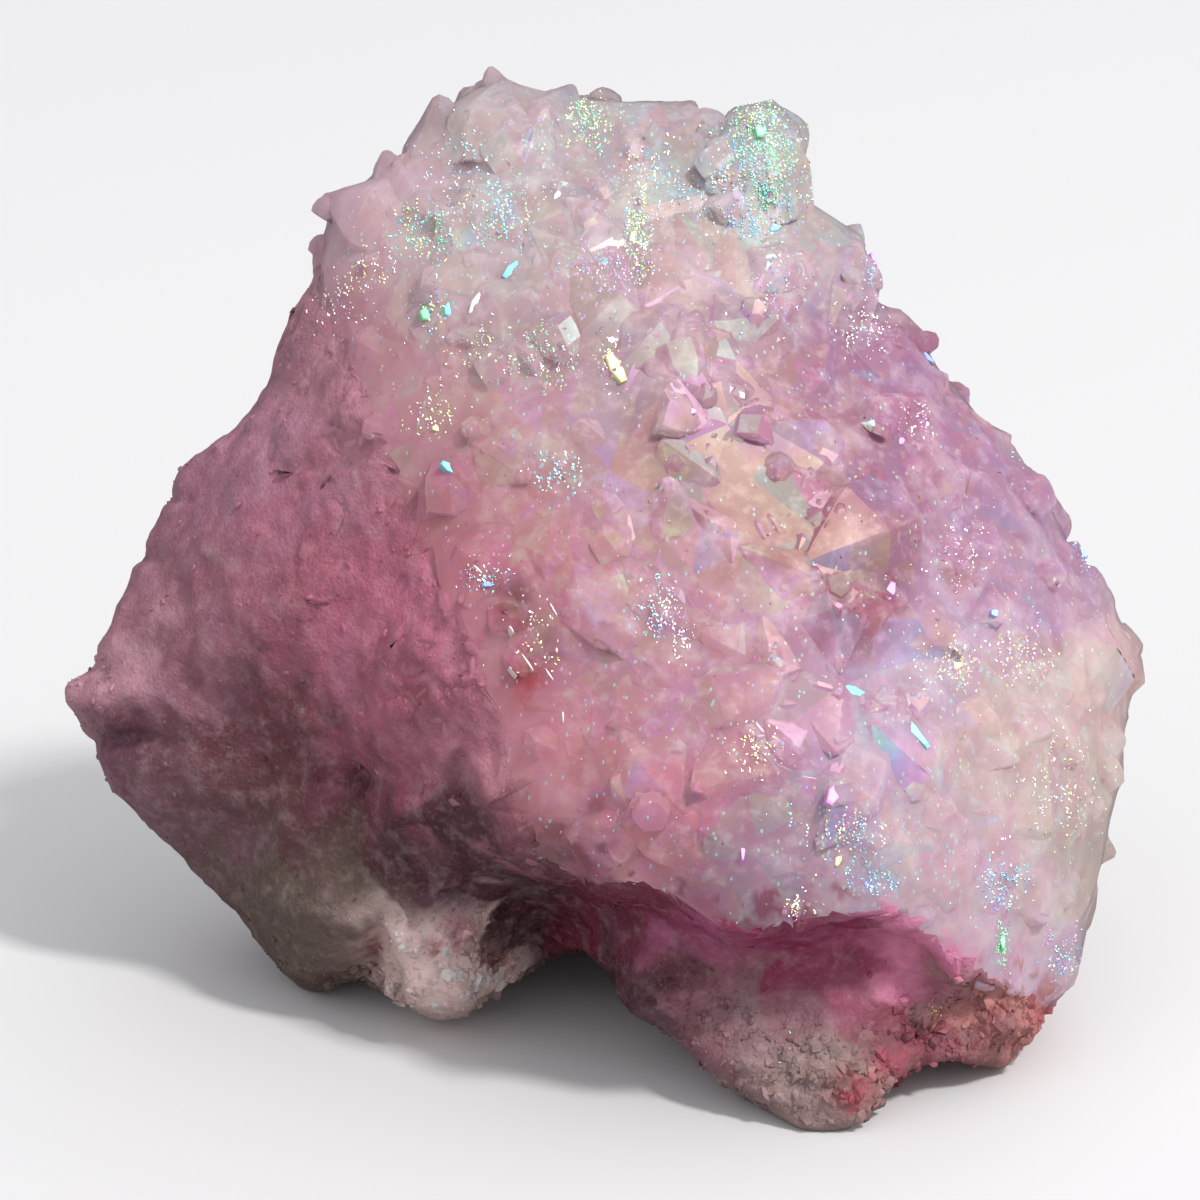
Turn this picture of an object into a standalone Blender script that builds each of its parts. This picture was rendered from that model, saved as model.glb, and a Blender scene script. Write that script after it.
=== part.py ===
"""Aura quartz cluster: a hand-sized lump of massive quartz with a crust of stubby, intergrown
quartz points, all grown as one piece and resting on its broken foot. Metres, +Z up, origin at
the middle of the space it stands on."""

import math
import random

import bmesh
import bpy
import numpy as np
from mathutils import Matrix, Vector, noise
from mathutils.bvhtree import BVHTree

MM = 0.001
NAME = "quartz_cluster"
SEED = 11

# The lump is laid out in the frame of its crystal face, in millimetres: u across, v up the face
# and w out of it. It then leans back by LEAN and stands with that frame's origin at LIFT.
LEAN = math.radians(20.0)
LIFT = 38.5

# The girth where the front of the lump turns into its back: (u, v, w), clockwise from the top.
GIRTH = [
    (-11.2, 45.4, 1.0), (-6.6, 43.7, 1.0), (0.0, 42.6, 1.0), (5.8, 42.4, 1.0), (9.5, 40.4, 1.0),
    (13.3, 42.5, 1.0), (15.6, 40.6, 1.0), (16.2, 34.4, 1.0), (22.2, 31.2, 0.0), (23.8, 25.2, -1.0),
    (28.0, 21.0, -2.0), (30.6, 17.4, -2.5), (33.5, 14.4, -3.0), (37.7, 9.6, -3.5), (40.6, 3.6, -4.0),
    (46.6, -5.4, -4.0), (45.6, -12.9, -4.0), (42.9, -25.3, -3.0), (41.8, -32.6, -1.0),
    (37.6, -38.3, 2.0), (34.3, -42.4, 6.5), (27.4, -40.8, 10.5), (25.0, -41.6, 12.0),
    (21.9, -44.4, 13.6), (20.4, -46.6, 14.6), (16.0, -46.8, 15.0), (11.6, -44.4, 14.4),
    (6.6, -39.8, 12.0), (2.2, -38.2, 9.0), (-0.4, -34.1, 4.0), (-3.5, -32.4, -1.0),
    (-7.1, -34.0, -3.0), (-10.6, -35.3, -4.0), (-13.2, -38.2, -4.5), (-16.6, -39.0, -5.5),
    (-20.4, -36.0, -8.5), (-23.0, -35.0, -9.0), (-25.7, -37.0, -11.0), (-28.9, -37.0, -11.5),
    (-34.2, -30.7, -11.0), (-39.4, -24.4, -10.0), (-44.9, -19.1, -9.0), (-48.4, -11.6, -8.0),
    (-48.2, -8.8, -8.0), (-46.2, -5.0, -7.5), (-44.9, -1.4, -7.0), (-41.8, 4.3, -6.5),
    (-37.6, 11.8, -6.0), (-33.4, 14.6, -5.0), (-30.7, 18.9, -4.0), (-26.8, 27.7, -3.0),
    (-25.2, 34.2, -2.0), (-20.0, 37.0, 0.0), (-13.2, 43.2, 1.0),
]
GIRTH_REACH = 0.6  # share of the way out at which its bays and spurs begin to show
GIRTH_CALM = math.radians(14.0)  # width of the smoothing that frees the inside of them
EDGE_FULLNESS = 2.3  # 2 rounds the girth like an ellipse, more makes it squarer

# Heights of the front, before the undercut and the lumps: (u, v, w).
FRONT = [
    (-10.2, 40.5, 5.5), (12.4, 38.0, 5.0), (-16.4, 32.2, 8.0), (-1.3, 29.5, 12.0), (13.4, 26.9, 10.0),
    (20.7, 19.5, 8.0), (-23.4, 22.5, 6.5), (-11.9, 16.3, 16.0), (3.1, 14.5, 18.0), (20.8, 10.9, 15.0),
    (32.3, 3.7, 10.0), (-4.9, 2.1, 21.0), (9.3, -1.4, 23.0), (25.2, -3.2, 18.5), (37.6, -8.5, 10.5),
    (2.2, -13.6, 25.0), (16.4, -15.3, 25.5), (29.6, -17.1, 19.5), (39.4, -22.6, 9.0),
    (9.3, -24.0, 25.5), (22.6, -24.2, 23.5), (33.2, -30.4, 14.0), (-16.4, -3.2, 15.0),
    (-25.2, 5.7, 8.5), (-33.2, 5.7, 2.5), (-36.7, -5.0, 1.5), (-26.0, -10.3, 7.5),
    (-14.6, -15.3, 15.0), (-41.1, -13.8, -2.0), (-31.4, -21.1, 0.0), (-22.8, -24.4, 4.0),
    (-8.4, -21.4, 19.0), (-11.0, -31.0, 7.0), (-1.3, -27.7, 17.0), (7.5, -33.3, 20.0),
    (16.4, -37.4, 20.5), (25.2, -35.9, 19.5), (-18.5, -32.3, 2.0), (-29.9, -29.7, -5.0),
]

# Heights of the back: (u, v, w).
BACK = [
    (0.0, 36.6, -11.0), (0.0, 20.0, -22.5), (-18.0, 22.0, -15.0), (16.0, 22.0, -18.0),
    (-2.0, -2.0, -31.0), (-30.0, 0.0, -20.0), (30.0, 0.0, -22.0), (0.0, -20.0, -35.0),
    (-30.0, -18.0, -25.0), (32.0, -18.0, -27.0),
]

# The lower lip of the crystal crust, left to right: (u, v, undercut), and how it falls away.
LIP = [
    (-30.0, -17.0, 0.0), (-20.8, -18.2, 1.0), (-12.0, -21.5, 3.0), (-4.9, -24.4, 5.5),
    (-1.3, -25.7, 6.5), (2.2, -25.3, 7.0), (7.5, -28.0, 7.0), (11.0, -29.7, 7.0), (16.4, -28.4, 8.0),
    (23.4, -27.5, 7.5), (27.0, -30.6, 6.5), (33.2, -34.6, 5.0), (38.5, -37.5, 3.0), (44.0, -40.0, 0.0),
]
LIP_DROP = 2.6  # distance down the face over which the undercut reaches its depth
LIP_FADE = 15.0  # distance over which the face comes forward again below it
LIP_RETURN = 0.75  # share of the undercut it then gets back

# Lumps (or hollows, where negative) on the front: (u, v, radius, height).
LUMP_SKIRT = 1.6  # how far a lump's foot reaches, per radius
RELIEF_FADE = 2.0  # lumps and undercut die out where the fullness falls below one over this
LUMPS = [
    (-15.6, -34.6, 6.0, 5.0), (-28.5, -31.0, 7.5, 4.0), (-46.0, -9.6, 4.5, 1.8), (-22.6, -17.3, 3.2, -2.6),
    (-9.0, -31.0, 6.0, -5.0), (33.5, -38.5, 3.6, 2.2), (25.0, -38.5, 3.6, -1.6), (4.0, -35.8, 4.0, 1.2),
    (11.0, -39.4, 4.0, 1.4), (18.5, -41.5, 4.0, 1.2), (-33.0, -2.0, 8.0, 1.6), (-22.0, 12.0, 7.0, 1.2),
    (14.0, 37.5, 5.0, 2.5), (-10.0, 40.0, 5.0, 2.0), (19.5, 28.5, 4.5, 2.0), (-31.0, -12.0, 6.0, -1.6),
    (-14.0, -8.0, 6.0, 1.5), (6.0, 30.0, 7.0, -1.5), (37.0, 2.0, 6.0, 1.5), (27.0, 14.0, 6.0, 1.2),
    (41.0, -20.0, 7.0, 1.5),
]

ROUGHNESS = 1.1  # depth of the broken quartz's shallow scoops
GRAIN = 7.5  # their breadth
SCOOP_LEVEL = 0.45  # taken off so that they neither swell nor shrink the lump
ROLL = (0.5, 2.3)  # a slower roll under them: its depth per ROUGHNESS and breadth per GRAIN
LUMP_DETAIL = 6  # subdivisions of the ball the lump is drawn from
LUMP_TRIANGLES = 2700  # and what it is thinned to
GROUND = 0.3  # metres, the block that takes the foot off level

# The part of the face that carries the crust: (u, v), clockwise from the top left.
CRUST = [
    (-30.0, 44.0), (-10.0, 52.0), (22.0, 50.0), (42.0, 26.0), (56.0, 0.0), (54.0, -30.0), (42.0, -41.0),
    (38.0, -37.2), (33.0, -34.2), (27.0, -30.2), (23.4, -27.2), (16.4, -28.0), (11.0, -29.2), (7.5, -27.6),
    (2.2, -25.0), (-1.3, -25.2), (-4.5, -17.0), (-8.0, -9.0), (-15.0, 1.0), (-20.0, 13.0), (-25.5, 26.0),
]
CRUST_BEHIND = -9.0  # the crust runs over the top and the right side back to this w
CRUST_BEHIND_FROM = -20.0  # above this v
CRUST_FACING = -0.15  # and on the front it covers what faces no further back than this

# The larger crystals: (u, v) of the middle of a broad facet, the crystal's radius, which way the
# facet is turned (degrees right, degrees up) and which way the point lies in the face (degrees).
HEROES = [
    (19.0, 3.0, 5.6, 14, 4, 200), (20.8, -3.0, 4.2, 22, -14, 20), (4.4, 6.5, 3.6, -6, 6, 80),
    (14.6, 11.9, 4.6, 10, 12, 150), (11.5, 22.5, 4.2, 6, 16, 10), (-5.7, 26.0, 4.2, -10, 18, 75),
    (23.4, -13.8, 4.8, 18, 2, 140), (-7.1, 39.3, 3.6, 0, 24, 60), (18.1, -19.3, 4.0, -16, 0, 260),
    (31.5, 1.0, 4.0, 30, 10, 60), (32.0, -14.0, 4.2, 34, 6, 340), (13.0, 38.0, 4.4, 8, 20, 100),
    (-14.0, 30.5, 3.6, -22, 12, 120), (2.0, 20.0, 3.8, 2, 14, 230), (-12.0, 22.0, 3.8, -26, 10, 200),
    (-2.0, -3.0, 3.8, -16, 0, 290), (11.5, -9.0, 4.2, 4, 0, 40), (4.0, -17.0, 4.0, -10, -6, 310),
    (36.0, -27.0, 4.0, 30, -4, 300), (27.5, 10.0, 3.8, 26, 16, 120), (-9.0, 10.0, 3.8, -24, 6, 330),
    (28.5, -24.0, 3.8, 14, -6, 30), (40.0, -8.0, 3.8, 44, 6, 80), (20.5, 27.5, 3.8, 20, 22, 70),
]
HERO_RISE = 0.9  # how far the middle of such a facet stands off the lump

TIP_SLOPE = math.radians(51.8)  # a tip's faces, measured from across its axis
SHAFT = 1.0  # length of the buried shaft, per radius

# The scattered crystals: most lie over, a broad facet outwards, and some stand up as points.
CRYSTAL_COUNT = 165
CRYSTAL_SPACING = 4.7
LYING_SHARE = 0.8
LYING_RADIUS = (3.6, 5.2)
LYING_RISE = (0.1, 0.8)
LYING_TURN = (math.radians(3), math.radians(18))
ALONG_SKIN = (math.radians(86), math.radians(92))
WAYS_TRIED = 4  # ways to lie that are weighed against each other
ROOT_AT = (3.5, 3.0)  # about where a lying crystal's root is: back along it, and down
ROOTED = 2.4  # depth at which it is safely inside the lump
POINT_RADIUS = (2.2, 3.3)
POINT_RISE = (1.1, 1.9)
POINT_TURN = (math.radians(5), math.radians(30))
POINT_STRETCH = (0.9, 1.15)
LOPSIDED = 0.25  # how far a tip's point strays from the middle, per radius
EDGE_SIZE = 0.65  # size of the crystals that look sideways or back, against those of the front
FRONT_FROM = 0.7  # how squarely a crystal faces front to be of full size

COLOUR = (0.74, 0.52, 0.58, 1.0)
GLOSS_ROUGHNESS = 0.3


def face_frame():
    """The matrix from the face frame in millimetres to the standing lump in metres."""
    upright = Matrix(((1, 0, 0), (0, 0, -1), (0, 1, 0))).to_4x4()
    lean = Matrix.Rotation(-LEAN, 4, "X")
    return Matrix.Translation((0, 0, LIFT * MM)) @ lean @ upright @ Matrix.Scale(MM, 4)


def smooth_step(x):
    x = min(1.0, max(0.0, x))
    return x * x * (3 - 2 * x)


class Girth:
    """The girth by its angle about the w axis, with a calmed copy for the inside."""

    def __init__(self):
        around = sorted((math.atan2(v, u), math.hypot(u, v), w) for u, v, w in GIRTH)
        self.angles, self.radii, self.heights = (np.array(column) for column in zip(*around))
        self.fine = np.linspace(-math.pi, math.pi, 361)[:-1]
        bell = np.exp(-0.5 * (self.fine / GIRTH_CALM) ** 2)
        blur = np.fft.fft(np.roll(bell / bell.sum(), -180))
        self.calm = np.fft.ifft(np.fft.fft(self.along(self.fine, self.radii)) * blur).real

    def along(self, angle, values):
        return np.interp(angle, self.angles, values, period=2 * math.pi)

    def radius(self, angle, share):
        calm = np.interp(angle, self.fine, self.calm, period=2 * math.pi)
        reach = smooth_step((share - GIRTH_REACH) / (1 - GIRTH_REACH))
        return calm + (self.along(angle, self.radii) - calm) * reach

    def share(self, u, v):
        """How far out a point of the face lies: 0 in the middle, 1 on the girth."""
        angle = math.atan2(v, u)
        share = 0.5
        for _ in range(12):
            share = min(0.999, math.hypot(u, v) / self.radius(angle, share))
        return share

    def level(self, angle, share):
        return self.along(angle, self.heights) * share**2


def fullness(share):
    return (1 - min(share, 1.0) ** EDGE_FULLNESS) ** (1 / EDGE_FULLNESS)


class Swell:
    """A thin plate through height marks, freed of the rounding towards the girth."""

    def __init__(self, marks, girth):
        self.points = np.array([(u, v) for u, v, _ in marks])
        swell = [self.unrounded(girth, *mark) for mark in marks]
        n = len(marks)
        plane = np.column_stack([np.ones(n), self.points])
        system = np.zeros((n + 3, n + 3))
        system[:n, :n] = self.bend(self.points)
        system[:n, n:] = plane
        system[n:, :n] = plane.T
        self.weights = np.linalg.solve(system, np.append(swell, (0, 0, 0)))

    @staticmethod
    def unrounded(girth, u, v, w):
        share = girth.share(u, v)
        return (w - girth.level(math.atan2(v, u), share)) / fullness(share)

    def bend(self, at):
        squared = ((at[:, None, :] - self.points[None, :, :]) ** 2).sum(2)
        return 0.5 * squared * np.log(np.maximum(squared, 1e-9))

    def __call__(self, u, v):
        bent = self.bend(np.array([(u, v)])) @ self.weights[:-3]
        return float(bent[0] + self.weights[-3:] @ (1, u, v))


def under_lip(u, v):
    """Depth of the undercut below the crust's lower lip."""
    lip_u, lip_v, depths = zip(*LIP)
    below = np.interp(u, lip_u, lip_v) - v
    kept = 1 - LIP_RETURN * smooth_step((below - LIP_DROP) / LIP_FADE)
    return np.interp(u, lip_u, depths) * smooth_step(below / LIP_DROP) * kept


def lumps(u, v):
    return sum(
        height * (1 - smooth_step(math.hypot(u - at_u, v - at_v) / (LUMP_SKIRT * radius)))
        for at_u, at_v, radius, height in LUMPS
    )


def unevenness(co):
    """Broken quartz: shallow scoops between scattered points, over a slower roll."""
    near = noise.voronoi(co / GRAIN)[0]
    scoops = near[1] - near[0] - SCOOP_LEVEL
    return ROUGHNESS * (scoops + ROLL[0] * noise.noise(co / (ROLL[1] * GRAIN)))


def make_lump():
    """The lump in the face frame, from a ball whose girth is drawn out to shape."""
    girth = Girth()
    front, back = Swell(FRONT, girth), Swell(BACK, girth)
    bm = bmesh.new()
    bmesh.ops.create_icosphere(bm, subdivisions=LUMP_DETAIL, radius=1.0)
    for vert in bm.verts:
        share = min(1.0, math.hypot(vert.co.x, vert.co.y))
        angle = math.atan2(vert.co.y, vert.co.x)
        reach = girth.radius(angle, share) * share
        u, v = reach * math.cos(angle), reach * math.sin(angle)
        full = fullness(share)
        is_front = vert.co.z > 0
        w = girth.level(angle, share) + full * (front if is_front else back)(u, v)
        if is_front:
            w += min(1.0, RELIEF_FADE * full) * (lumps(u, v) - under_lip(u, v))
        vert.co = (u, v, w)
    bm.normal_update()
    shifts = [vert.normal * unevenness(vert.co) for vert in bm.verts]
    for vert, shift in zip(bm.verts, shifts):
        vert.co += shift
    bm.normal_update()
    return bm


class Skin:
    """The lump's surface, for finding a point on it and the depth of one below it."""

    def __init__(self, bm):
        self.tree = BVHTree.FromBMesh(bm)

    def front(self, u, v):
        return self.tree.ray_cast(Vector((u, v, 200)), Vector((0, 0, -1)))[0]

    def depth(self, co):
        at, normal, _, _ = self.tree.find_nearest(co)
        return (at - co).dot(normal)


def tip_height(radius):
    return radius * math.cos(math.pi / 6) * math.tan(TIP_SLOPE)


def add_crystal(bm, radius, stretch, lop, at, axis, spin):
    """Add one crystal: a buried six-sided shaft under a lopsided six-faced tip."""
    depth = SHAFT * radius
    below = Matrix.Translation((0, 0, -depth / 2))
    shaft = bmesh.ops.create_cone(
        bm, cap_ends=True, segments=6, radius1=radius, radius2=radius, depth=depth, matrix=below)["verts"]
    caps = {face for vert in shaft for face in vert.link_faces if len(face.verts) == 6}
    shoulder = max(caps, key=lambda face: face.calc_center_median().z)
    tip = bmesh.ops.poke(bm, faces=[shoulder])["verts"]
    tip[0].co = (lop[0] * radius, lop[1] * radius, tip_height(radius))
    turn = axis.to_track_quat("Z", "Y").to_matrix().to_4x4()
    shape = Matrix.Rotation(spin, 4, "Z") @ Matrix.Diagonal((stretch, 1 / stretch, 1, 1))
    bmesh.ops.transform(bm, matrix=Matrix.Translation(at) @ turn @ shape, verts=shaft + tip)


def add_lying(bm, radius, lop, at, facet, along, rise):
    """Add a crystal that lies over, so that one face of its tip looks along facet."""
    along = (along - facet * along.dot(facet)).normalized()
    axis = facet * math.cos(TIP_SLOPE) + along * math.sin(TIP_SLOPE)
    turn = axis.to_track_quat("Z", "Y").to_matrix()
    level = turn.inverted() @ facet
    spin = math.atan2(level.y, level.x) - math.radians(30)
    outward = (facet - axis * facet.dot(axis)).normalized()
    middle = axis * tip_height(radius) / 2 + outward * radius * math.cos(math.pi / 6) / 2
    add_crystal(bm, radius, 1.0, lop, at + facet * rise - middle, axis, spin)


def inside(u, v, outline):
    hit = False
    for (u0, v0), (u1, v1) in zip(outline, outline[1:] + outline[:1]):
        if (v0 > v) != (v1 > v) and u < (u1 - u0) * (v - v0) / (v1 - v0) + u0:
            hit = not hit
    return hit


def carries_crust(co, normal):
    over_edge = co.z > CRUST_BEHIND and co.y > CRUST_BEHIND_FROM
    return (normal.z > CRUST_FACING or over_edge) and inside(co.x, co.y, CRUST)


def spots(bm, rng):
    """Scattered places on the crust at least CRYSTAL_SPACING apart, with their normals."""
    faces = [face for face in bm.faces if carries_crust(face.calc_center_median(), face.normal)]
    reach = np.cumsum([face.calc_area() for face in faces])
    taken = []
    while len(taken) < CRYSTAL_COUNT:
        face = faces[int(np.searchsorted(reach, rng.uniform(0, reach[-1])))]
        at = face.calc_center_median()
        if all((at - other).length > CRYSTAL_SPACING for other, _ in taken):
            taken.append((at, face.normal.copy()))
    return taken


def leaning(normal, turn, rng):
    """A direction at an angle from the normal, any way round it."""
    tilted = Matrix.Rotation(rng.uniform(*turn), 3, normal.orthogonal()) @ normal
    return (Matrix.Rotation(rng.uniform(0, 2 * math.pi), 3, normal) @ tilted).normalized()


def add_scattered(bm, skin, at, normal, rng):
    size = EDGE_SIZE + (1 - EDGE_SIZE) * smooth_step(normal.z / FRONT_FROM)
    lop = (rng.uniform(-LOPSIDED, LOPSIDED), rng.uniform(-LOPSIDED, LOPSIDED))
    if rng.random() < LYING_SHARE:
        facet = leaning(normal, LYING_TURN, rng)
        back, down = ROOT_AT
        ways = [leaning(normal, ALONG_SKIN, rng) for _ in range(WAYS_TRIED)]
        along = max(ways, key=lambda way: min(ROOTED, skin.depth(at - back * way - down * normal)))
        radius, rise = size * rng.uniform(*LYING_RADIUS), size * rng.uniform(*LYING_RISE)
        add_lying(bm, radius, lop, at, facet, along, rise)
        return
    axis = leaning(normal, POINT_TURN, rng)
    radius = size * rng.uniform(*POINT_RADIUS)
    shoulder = at + axis * (size * rng.uniform(*POINT_RISE) - tip_height(radius))
    add_crystal(bm, radius, rng.uniform(*POINT_STRETCH), lop, shoulder, axis, rng.uniform(0, math.pi))


def make_crust(lump):
    """The crystals: the named ones, and the scattered ones between them."""
    rng = random.Random(SEED)
    skin = Skin(lump)
    bm = bmesh.new()
    for u, v, radius, right, up, lie in HEROES:
        facet = Vector((math.tan(math.radians(right)), math.tan(math.radians(up)), 1)).normalized()
        along = Vector((math.cos(math.radians(lie)), math.sin(math.radians(lie)), 0))
        add_lying(bm, radius, (0.0, 0.0), skin.front(u, v), facet, along, HERO_RISE)
    for at, normal in spots(lump, rng):
        add_scattered(bm, skin, at, normal, rng)
    return bm


def make_ground():
    bm = bmesh.new()
    bmesh.ops.create_cube(bm, size=GROUND, matrix=Matrix.Translation((0, 0, -GROUND / 2)))
    return bm


def make_quartz():
    quartz = bpy.data.materials.new("aura_quartz")
    quartz.use_nodes = True
    surface = quartz.node_tree.nodes["Principled BSDF"].inputs
    surface["Base Color"].default_value = COLOUR
    surface["Roughness"].default_value = GLOSS_ROUGHNESS
    surface["Metallic"].default_value = 0.0
    return quartz


def link(name, bm, matrix, collection):
    mesh = bpy.data.meshes.new(name)
    bm.to_mesh(mesh)
    bm.free()
    mesh.transform(matrix)
    obj = bpy.data.objects.new(name, mesh)
    collection.objects.link(obj)
    return obj


def apply(obj, modifier_type, **settings):
    modifier = obj.modifiers.new(modifier_type.title(), modifier_type)
    for name, value in settings.items():
        setattr(modifier, name, value)
    with bpy.context.temp_override(object=obj, active_object=obj):
        bpy.ops.object.modifier_apply(modifier=modifier.name)


def centre(obj):
    """Bring the middle of the space the object stands on to the origin."""
    xs, ys, _ = zip(*(vert.co for vert in obj.data.vertices))
    obj.data.transform(Matrix.Translation((-(min(xs) + max(xs)) / 2, -(min(ys) + max(ys)) / 2, 0)))


def main():
    for obj in list(bpy.data.objects):
        bpy.data.objects.remove(obj)
    shaping = bpy.data.collections.new("shaping")
    collection = bpy.data.collections.new("aura_quartz_cluster")
    for each in (shaping, collection):
        bpy.context.scene.collection.children.link(each)
    frame = face_frame()
    lump = make_lump()
    crust = link("crust", make_crust(lump), frame, shaping)
    ground = link("ground", make_ground(), Matrix.Identity(4), shaping)
    cluster = link(NAME, lump, frame, collection)
    apply(cluster, "DECIMATE", ratio=LUMP_TRIANGLES / len(cluster.data.polygons))
    apply(cluster, "BOOLEAN", operation="UNION", object=crust, solver="EXACT", use_self=True)
    apply(cluster, "BOOLEAN", operation="DIFFERENCE", object=ground, solver="EXACT")
    for cutter in (crust, ground):
        cutter.hide_render = True
        cutter.display_type = "WIRE"
    centre(cluster)
    cluster.data.materials.clear()
    cluster.data.materials.append(make_quartz())


main()
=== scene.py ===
# Aura quartz cluster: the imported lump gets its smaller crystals, its sugary broken quartz,
# its glittering druse and its film of colours, and stands on a pale floor.
import math
import random

import bpy
import numpy as np
from mathutils import Matrix, Vector
from mathutils.bvhtree import BVHTree


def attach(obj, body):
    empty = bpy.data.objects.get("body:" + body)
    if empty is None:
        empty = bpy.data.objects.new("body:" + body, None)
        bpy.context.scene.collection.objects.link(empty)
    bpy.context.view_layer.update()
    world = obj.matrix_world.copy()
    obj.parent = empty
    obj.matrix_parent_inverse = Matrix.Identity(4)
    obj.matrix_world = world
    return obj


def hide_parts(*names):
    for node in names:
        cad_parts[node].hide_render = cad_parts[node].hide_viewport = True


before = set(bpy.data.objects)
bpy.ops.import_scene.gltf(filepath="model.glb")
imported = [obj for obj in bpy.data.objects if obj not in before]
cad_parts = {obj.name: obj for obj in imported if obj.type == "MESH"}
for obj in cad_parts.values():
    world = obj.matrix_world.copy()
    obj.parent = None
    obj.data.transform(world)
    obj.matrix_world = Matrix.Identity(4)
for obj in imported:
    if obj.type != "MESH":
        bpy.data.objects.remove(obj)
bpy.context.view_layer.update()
solidName = "quartz_cluster"
mm = 0.001

# The crystal face's own axes: u across it, v up it and w out of it, in millimetres.
face = {"lean": math.radians(20), "middle": (0.65, 2.2, 38.5)}
faceAxes = np.array([
    (1, 0, 0),
    (0, math.sin(face["lean"]), math.cos(face["lean"])),
    (0, -math.cos(face["lean"]), math.sin(face["lean"])),
])


def toFace(points):
    return (np.asarray(points) / mm - face["middle"]) @ faceAxes.T


def toWorld(points):
    return (np.asarray(points) @ faceAxes + face["middle"]) * mm


def heightOf(points):
    # above the floor in millimetres, of points given on the face's axes
    return np.asarray(points) @ faceAxes[:, 2] + face["middle"][2]


def deselectAll():
    if bpy.context.mode != "OBJECT":
        bpy.ops.object.mode_set(mode="OBJECT")
    bpy.ops.object.select_all(action="DESELECT")


def activate(obj):
    deselectAll()
    obj.select_set(True)
    bpy.context.view_layer.objects.active = obj


def selectNothing(kind):
    # the active object is left ready to have faces, edges or vertices picked
    bpy.ops.object.mode_set(mode="EDIT")
    bpy.ops.mesh.select_mode(type=kind)
    bpy.ops.mesh.select_all(action="DESELECT")
    bpy.ops.object.mode_set(mode="OBJECT")


def edit(operator, **settings):
    # one edit of what is picked on the active object
    bpy.ops.object.mode_set(mode="EDIT")
    operator(**settings)
    bpy.ops.object.mode_set(mode="OBJECT")


def applyModifier(obj, kind, **settings):
    activate(obj)
    modifier = obj.modifiers.new(kind.lower(), kind)
    for name, value in settings.items():
        setattr(modifier, name, value)
    bpy.ops.object.modifier_apply(modifier=modifier.name)


def step(low, high, values):
    x = np.clip((values - low) / (high - low), 0, 1)
    return x * x * (3 - 2 * x)


def howMany(count):
    return count // 1


def readArray(items, name, width=1, kind=np.float64):
    values = np.empty(len(items) * width, kind)
    items.foreach_get(name, values)
    return values.reshape(-1, width) if width > 1 else values


def readVertices(mesh):
    return readArray(mesh.vertices, "co", 3)


def readFaces(mesh):
    # middles and normals on the face's axes, and areas in square millimetres
    middles, normals = readArray(mesh.polygons, "center", 3), readArray(mesh.polygons, "normal", 3)
    return toFace(middles), normals @ faceAxes.T, readArray(mesh.polygons, "area") / mm ** 2


def cornerOwners(mesh):
    # for each corner of the mesh, its face, its vertex and its edge
    totals = readArray(mesh.polygons, "loop_total", kind=np.int64)
    corners, edges = (readArray(mesh.loops, name, kind=np.int64) for name in ("vertex_index", "edge_index"))
    return np.repeat(np.arange(len(totals)), totals), corners, edges


def awayFrom(points, u, v, across, up=None):
    # squared distance from the place (u, v), counted in its reach across and its reach up
    return ((points[:, 0] - u) / across) ** 2 + ((points[:, 1] - v) / (up or across)) ** 2


def nearness(points, u, v, across, up=None):
    return np.exp(-awayFrom(points, u, v, across, up))


def unit(vectors):
    return vectors / np.maximum(np.linalg.norm(vectors, axis=1), 1e-9)[:, None]


def facetGroups(mesh, bend=2.0):
    # faces that lie in one plane and touch count as one facet
    normals = readArray(mesh.polygons, "normal", 3)
    owners, _, edges = cornerOwners(mesh)
    order = np.argsort(edges, kind="stable")
    edges, owners = edges[order], owners[order]
    same = edges[1:] == edges[:-1]
    one, two = owners[:-1][same], owners[1:][same]
    flat = np.einsum("ij,ij->i", normals[one], normals[two]) > math.cos(math.radians(bend))
    one, two = one[flat], two[flat]
    group = np.arange(len(normals))
    while True:
        low = np.minimum(group[one], group[two])
        before = group.copy()
        np.minimum.at(group, one, low)
        np.minimum.at(group, two, low)
        group = group[group]
        if (group == before).all():
            return group


# The lump.
lump = {"mergeAt": 1e-6, "flat": math.radians(0.5)}


def copySolid():
    print("lump: copying the solid")
    mesh = bpy.data.objects[solidName].data.copy()
    mesh.name = "quartz_lump"
    body = bpy.data.objects.new("quartz_lump", mesh)
    bpy.context.scene.collection.objects.link(body)
    activate(body)
    bpy.ops.object.mode_set(mode="EDIT")
    bpy.ops.mesh.select_all(action="SELECT")
    bpy.ops.mesh.remove_doubles(threshold=lump["mergeAt"])
    bpy.ops.mesh.dissolve_limited(angle_limit=lump["flat"])
    bpy.ops.object.mode_set(mode="OBJECT")
    return body


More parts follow.
